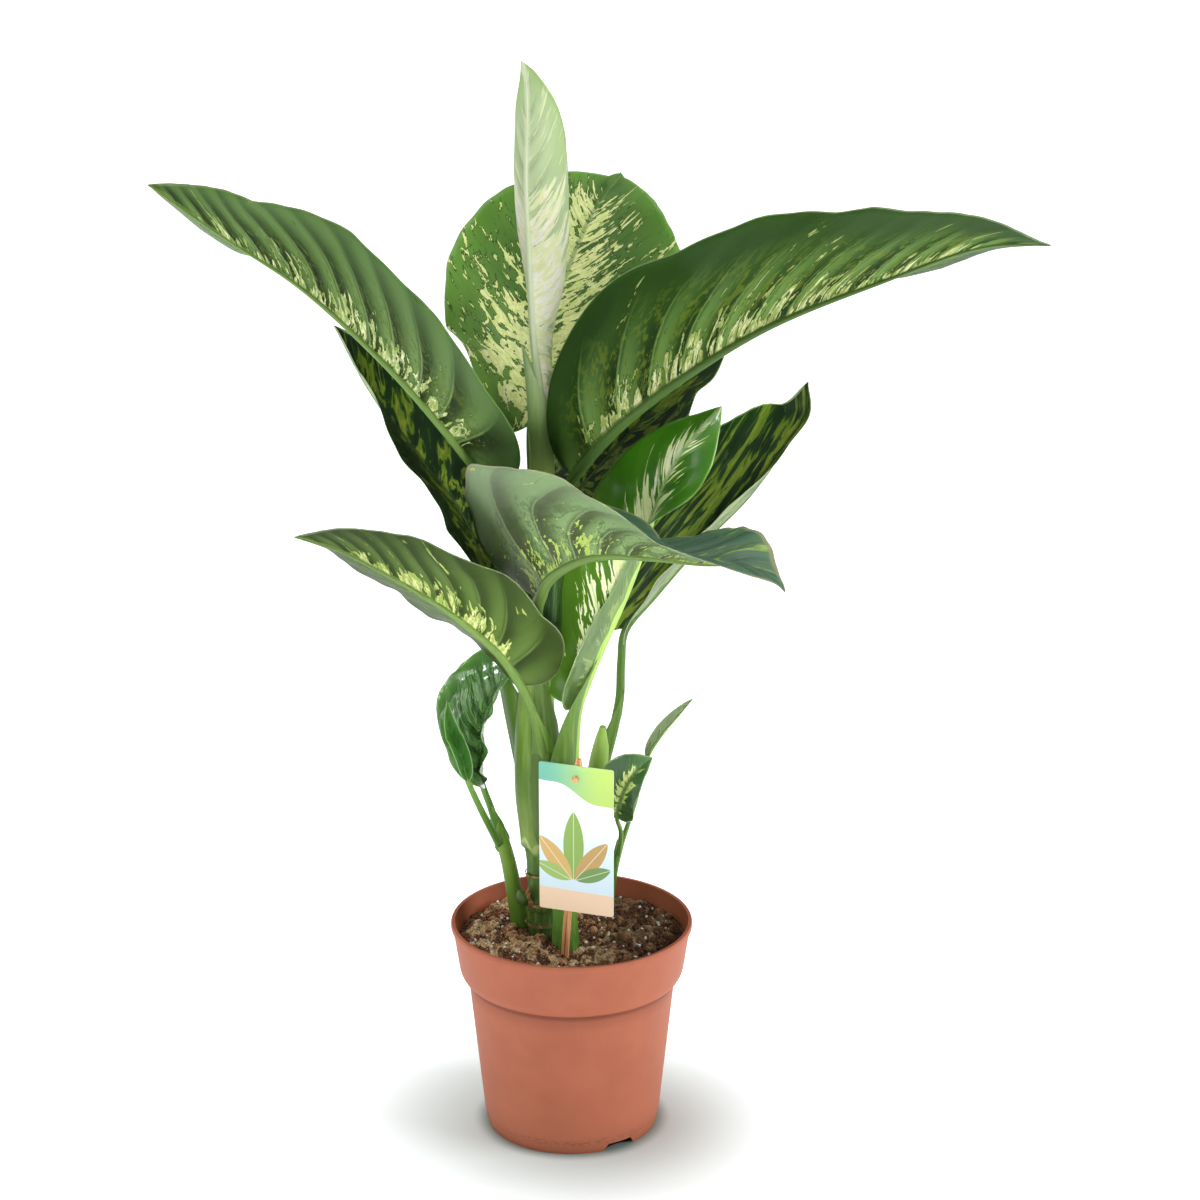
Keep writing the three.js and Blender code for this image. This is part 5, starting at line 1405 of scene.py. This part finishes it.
labelShape = {"width": 54, "height": 107, "thick": 0.55, "corner": 1.6, "x": 4, "y": -52, "z": 234, "turn": -0.35,
              "pinX": -0.2, "pinZ": 278, "holeRadius": 1.7, "holeSides": 24, "cornerSteps": 6}
stakeShape = {
    "wide": 5.6, "deep": 3.0, "groove": 0.24, "behind": 0.3, "footX": -13, "footZ": 98, "topX": 1.2, "topZ": 292,
    "rows": 60, "sides": 16,  # then the peg and its rounded head: radius and place in front of the stake
    "peg": [(1.3, 1.2), (1.3, -1.2), (2.2, -1.25), (2.4, -1.7), (2.1, -2.3), (1.2, -2.65), (0.3, -2.75)],
}
cardPaint = {
    "low": (206, 226, 236), "high": (246, 248, 250), "cornerLeft": (96, 172, 150), "cornerRight": (176, 206, 96),
    "line": (240, 240, 220), "foot": (236, 204, 170), "fibre": (150, 130, 110), "back": (238, 236, 228),
    "spray": [  # centre x, y, angle, length, width, tint
        (-2, -30, 1.57, 50, 7.5, (132, 168, 72)), (-3, -30, 2.25, 38, 6.5, (206, 168, 96)),
        (-1, -30, 0.9, 38, 6.5, (186, 150, 84)), (-4, -30, 2.75, 27, 5.0, (150, 182, 92)),
        (0, -30, 0.4, 27, 5.0, (104, 146, 70))],
}


def toLabelPlace(points):
    points = np.asarray(points, float)
    cos, sin = math.cos(labelShape["turn"]), math.sin(labelShape["turn"])
    x = points[:, 0] * cos - points[:, 1] * sin + labelShape["x"]
    y = points[:, 0] * sin + points[:, 1] * cos + labelShape["y"]
    return np.stack([x, y, points[:, 2]], -1)


def buildMotifGroup():
    # one pointed leaf on the card, as a mask: centre, angle, length and width in the card's millimetres
    graph, given, made = makeGroup("cardLeaf", "Place, Centre X, Centre Y, Angle, Length, Width", "Leaf, Line")
    x, y, _ = graph.split(given["Place"])
    x = x - given["Centre X"]
    y = y - given["Centre Y"]
    cos, sin = graph.maths("COSINE", given["Angle"]), graph.maths("SINE", given["Angle"])
    along = x * cos + y * sin
    across = y * cos - x * sin
    f = along / given["Length"]
    edge = graph.maths("MAXIMUM", f * (1.0 - f) * 4.0, 0.0) ** 0.8 * given["Width"]
    within = graph.ramp(f, 0.0, 0.01) * graph.ramp(f, 1.0, 0.99)
    graph.feed(made["Leaf"], graph.ramp(edge - abs(across), -0.05, 0.15) * within)
    graph.feed(made["Line"], graph.ramp(abs(across), 0.35, 0.15))
    return graph.tree


def cardMaterial():
    p = cardPaint
    graph = makeMaterial("cardPrint", 0.5, {"Coat Weight": 0.15, "Coat Roughness": 0.2})
    place = graph.read("cardPlace")
    x, y, face = graph.split(place)
    fibre = graph.noise(place, 0.9, 3, 0.6)
    edgeWave = y + x * 0.35 + graph.maths("SINE", x * 0.16) * 2.2
    green = graph.mix(graph.ramp(x, -26, 22), p["cornerLeft"], p["cornerRight"])
    base = graph.layers(p["low"], (graph.ramp(y, -30, 40), p["high"]), (graph.ramp(edgeWave, 33.0, 33.5), green))
    motif = buildMotifGroup()
    for cx, cy, angle, length, width, tint in p["spray"]:
        leaf = graph.use(motif, {"Place": place, "Centre X": cx, "Centre Y": cy, "Angle": angle,
                                 "Length": length, "Width": width})
        base = graph.layers(base, (leaf["Leaf"], tint), (leaf["Leaf"] * leaf["Line"] * 0.6, p["line"]))
    base = graph.layers(
        base, (graph.ramp(y + x * 0.02, -37.8, -38.1), p["foot"]),
        (graph.ramp(fibre, 0.4, 0.8, 0.0, 0.08), p["fibre"]), (1.0 - face, p["back"]))
    return graph.finish(base, graph.ramp(fibre, 0.3, 0.7, 0.32, 0.45), graph.bump(fibre, 0.0001, 0.3))


def woodMaterial():
    graph = makeMaterial("bareWood", 0.3)
    place = graph.objectPlace()
    x, y, z = graph.split(place)
    rings = graph.noise(graph.vector(x, y, z * 0.03), 700, 3, 0.6)
    pores = graph.noise(graph.vector(x, y, z * 0.08), 2600, 2, 0.6)
    base = graph.mix(graph.ramp(rings, 0.35, 0.65), (222, 166, 114), (194, 132, 86))
    base = graph.mix(graph.ramp(pores, 0.6, 0.72, 0.0, 0.5), base, (142, 90, 56))
    return graph.finish(base, graph.ramp(pores, 0.3, 0.7, 0.55, 0.8), graph.bump(rings, 0.0003, 0.6))


def buildCard():
    s = labelShape
    w, h, r = s["width"] / 2, s["height"] / 2, s["corner"]
    outline = []
    for corner, (sx, sz) in enumerate([(1, -1), (1, 1), (-1, 1), (-1, -1)]):
        for k in range(s["cornerSteps"] + 1):
            a = (corner - 1 + k / s["cornerSteps"]) * math.pi / 2
            outline.append((sx * (w - r) + r * math.cos(a), sz * (h - r) + r * math.sin(a)))
    hole = [(s["pinX"] + s["holeRadius"] * math.cos(a), s["pinZ"] - s["z"] + s["holeRadius"] * math.sin(a))
            for a in roundAngles(s["holeSides"])]
    flat = bmesh.new()
    rings = []
    for loop in (outline, hole):
        verts = [flat.verts.new((x, 0, z)) for x, z in loop]
        rings += [flat.edges.new((verts[k], verts[(k + 1) % len(verts)])) for k in range(len(verts))]
    bmesh.ops.triangle_fill(flat, edges=rings, use_beauty=True)
    made = bmesh.ops.extrude_face_region(flat, geom=flat.faces[:])
    for v in made["geom"]:
        if isinstance(v, bmesh.types.BMVert):
            v.co.y = -s["thick"]
    bmesh.ops.recalc_face_normals(flat, faces=flat.faces)
    flat.verts.ensure_lookup_table()
    local = np.array([v.co[:] for v in flat.verts])
    faces = [[v.index for v in f.verts] for f in flat.faces]
    flat.free()
    world = toLabelPlace(local + (0, 0, s["z"]))
    front = (local[:, 1] < -0.1).astype(float)
    cardPlace = np.stack([local[:, 0], local[:, 2], front], -1)
    piece = makePiece("label_print", world, faces, [cardMaterial()], places={"cardPlace": cardPlace}, sharpAngle=30)
    facesOut(piece)
    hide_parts("label_card")
    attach(piece, "root")


def buildStake():
    s = stakeShape
    half, deep, rows, sides = s["wide"] / 2, s["deep"] / 2, s["rows"], s["sides"]
    points, faces = [], []
    for sign in (-1, 1):  # two round-edged laths side by side, with a fine groove between them
        centre, wide = sign * half / 2, (half - s["groove"]) / 2
        loop = [(centre + wide * math.copysign(abs(math.cos(a)) ** 0.5, math.cos(a)),
                 deep + deep * math.copysign(abs(math.sin(a)) ** 0.5, math.sin(a))) for a in roundAngles(sides)]
        faces += tubeFaces(rows, sides, len(points))
        for f in np.linspace(0, 1, rows):
            z = s["footZ"] + (s["topZ"] - s["footZ"]) * f
            thin = 1 - 0.5 * max(0.0, (f - 0.97) / 0.03) ** 2
            points += [(x * thin + s["footX"] + (s["topX"] - s["footX"]) * f, y + s["behind"], z) for x, y in loop]
    faces += tubeFaces(len(s["peg"]), sides, len(points))
    for radius, y in s["peg"]:
        points += [(labelShape["pinX"] + radius * math.cos(a), y, labelShape["pinZ"] + radius * math.sin(a))
                   for a in roundAngles(sides)]
    piece = makePiece("label_stick", toLabelPlace(points), faces, [woodMaterial()], sharpAngle=50)
    facesOut(piece)
    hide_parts("label_stake")
    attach(piece, "root")


buildCard()
buildStake()
print("label made")


# floor, light and camera

# floor: a glow, painted light that fades towards the pot and so shapes its shadow halo, a painted shadow tint near
# the pot, and a painted contact shadow at its foot
stageValues = {
    "floorSizeMetres": 14.0, "floorGlow": 0.7, "glowFrom": 0.058, "glowTo": 0.215, "glowShift": 0.006,
    "shadowTintFrom": 0.05, "contactShadowFrom": 0.058, "contactShadowTo": 0.072, "contactShadowShare": 0.85, "worldStrength": 0.24,
    "sunStrength": 1.5, "sunAngle": 40, "sunPlace": (-0.5, 0.5, 3.0), "cameraMetres": (0.020, -2.000, 1.019),
    "pitch": 17.5, "lens": 92.28, "sensor": 36,
}
# the floor's two whites, the painted tint of the shadow near the pot, and the painted contact shadow
floorPaint = {"first": (244, 250, 253), "second": (248, 252, 254), "near": (232, 246, 244),
              "contactShadow": (124, 142, 130)}
lamps = {  # place and aim in metres, size, power, spread in degrees
    "key": ((-2.1, -0.8, 1.4), (0, 0, 0.35), 2.0, 16.0, 180),
    "fill": ((2.1, -0.6, 1.1), (0, 0, 0.3), 1.3, 30.0, 180),
    "front": ((0.1, -2.6, 0.9), (0, 0, 0.35), 1.6, 4.0, 180),
    "near": ((0.02, -0.62, 0.48), (0, 0, 0.4), 0.16, 0.2, 36),
}


def buildWorld(strength):
    # white where the camera sees it, dimmer as a light
    world = bpy.data.worlds.new("studio")
    world.use_nodes = True
    graph = Graph(world.node_tree)
    sky = world.node_tree.nodes["Background"]
    sky.inputs["Strength"].default_value = strength
    sky.inputs["Color"].default_value = (1.0, 1.0, 1.0, 1.0)
    seen = graph.add("ShaderNodeBackground", {"Color": (1.0, 1.0, 1.0, 1.0), "Strength": 1.0})
    which = graph.add("ShaderNodeLightPath")
    both = graph.add("ShaderNodeMixShader", {0: which.outputs["Is Camera Ray"], 1: sky, 2: seen})
    graph.feed(world.node_tree.nodes["World Output"].inputs["Surface"], both)
    return world


def aimAt(holder, place, aim):
    holder.location = place
    holder.rotation_euler = (Vector(aim) - Vector(place)).to_track_quat("-Z", "Y").to_euler()
    bpy.context.scene.collection.objects.link(holder)


def buildStage():
    s = stageValues
    size = s["floorSizeMetres"] / 2 / metre
    floor = makePiece("floor", [(-size, -size, 0), (size, -size, 0), (size, size, 0), (-size, size, 0)],
                      [(0, 1, 2, 3)], [])
    graph = makeMaterial("paleFloor", 0.1, {"Roughness": 0.9, "Emission Strength": s["floorGlow"]})
    x, y, _ = graph.split(graph.objectPlace())
    # the floor glows white away from the pot: painted light that fades towards the pot, off centre, and so shapes the
    # shadow halo there along with the cast shadow
    away = graph.length(graph.vector(x + s["glowShift"], y))
    graph.feed(graph.shader.inputs["Emission Color"], graph.ramp(away, s["glowFrom"], s["glowTo"]))
    # painted contact shadow: a darker floor in a narrow ring round the pot's foot
    contactShadow = graph.ramp(graph.length(graph.objectPlace()), s["contactShadowTo"], s["contactShadowFrom"], 0.0,
                         s["contactShadowShare"])
    base = graph.layers(
        floorPaint["first"], (graph.noise(graph.objectPlace(), 2.0, 2), floorPaint["second"]),
        # near the pot, a greenish tint painted into the shadow
        (graph.ramp(away, s["glowTo"], s["shadowTintFrom"]), floorPaint["near"]), (contactShadow, floorPaint["contactShadow"]))
    graph.feed(graph.shader.inputs["Base Color"], base)
    floor.data.materials.append(graph.material)
    bpy.context.scene.world = buildWorld(s["worldStrength"])
    sun = bpy.data.lights.new("above", "SUN")
    sun.energy = s["sunStrength"]
    sun.angle = math.radians(s["sunAngle"])
    aimAt(bpy.data.objects.new("above", sun), s["sunPlace"], (0, 0, 0))
    for name, (place, aim, wide, power, spread) in lamps.items():
        lamp = bpy.data.lights.new(name, "AREA")
        lamp.size = wide
        lamp.energy = power
        lamp.spread = math.radians(spread)
        aimAt(bpy.data.objects.new(name, lamp), place, aim)
    lens = bpy.data.cameras.new("view")
    lens.lens = s["lens"]
    lens.sensor_width = s["sensor"]
    camera = bpy.data.objects.new("view", lens)
    camera.location = s["cameraMetres"]
    camera.rotation_euler = (math.radians(90 - s["pitch"]), 0, 0)
    bpy.context.scene.collection.objects.link(camera)
    bpy.context.scene.camera = camera
    bpy.context.scene.view_settings.view_transform = "Standard"


buildStage()
print("stage made")
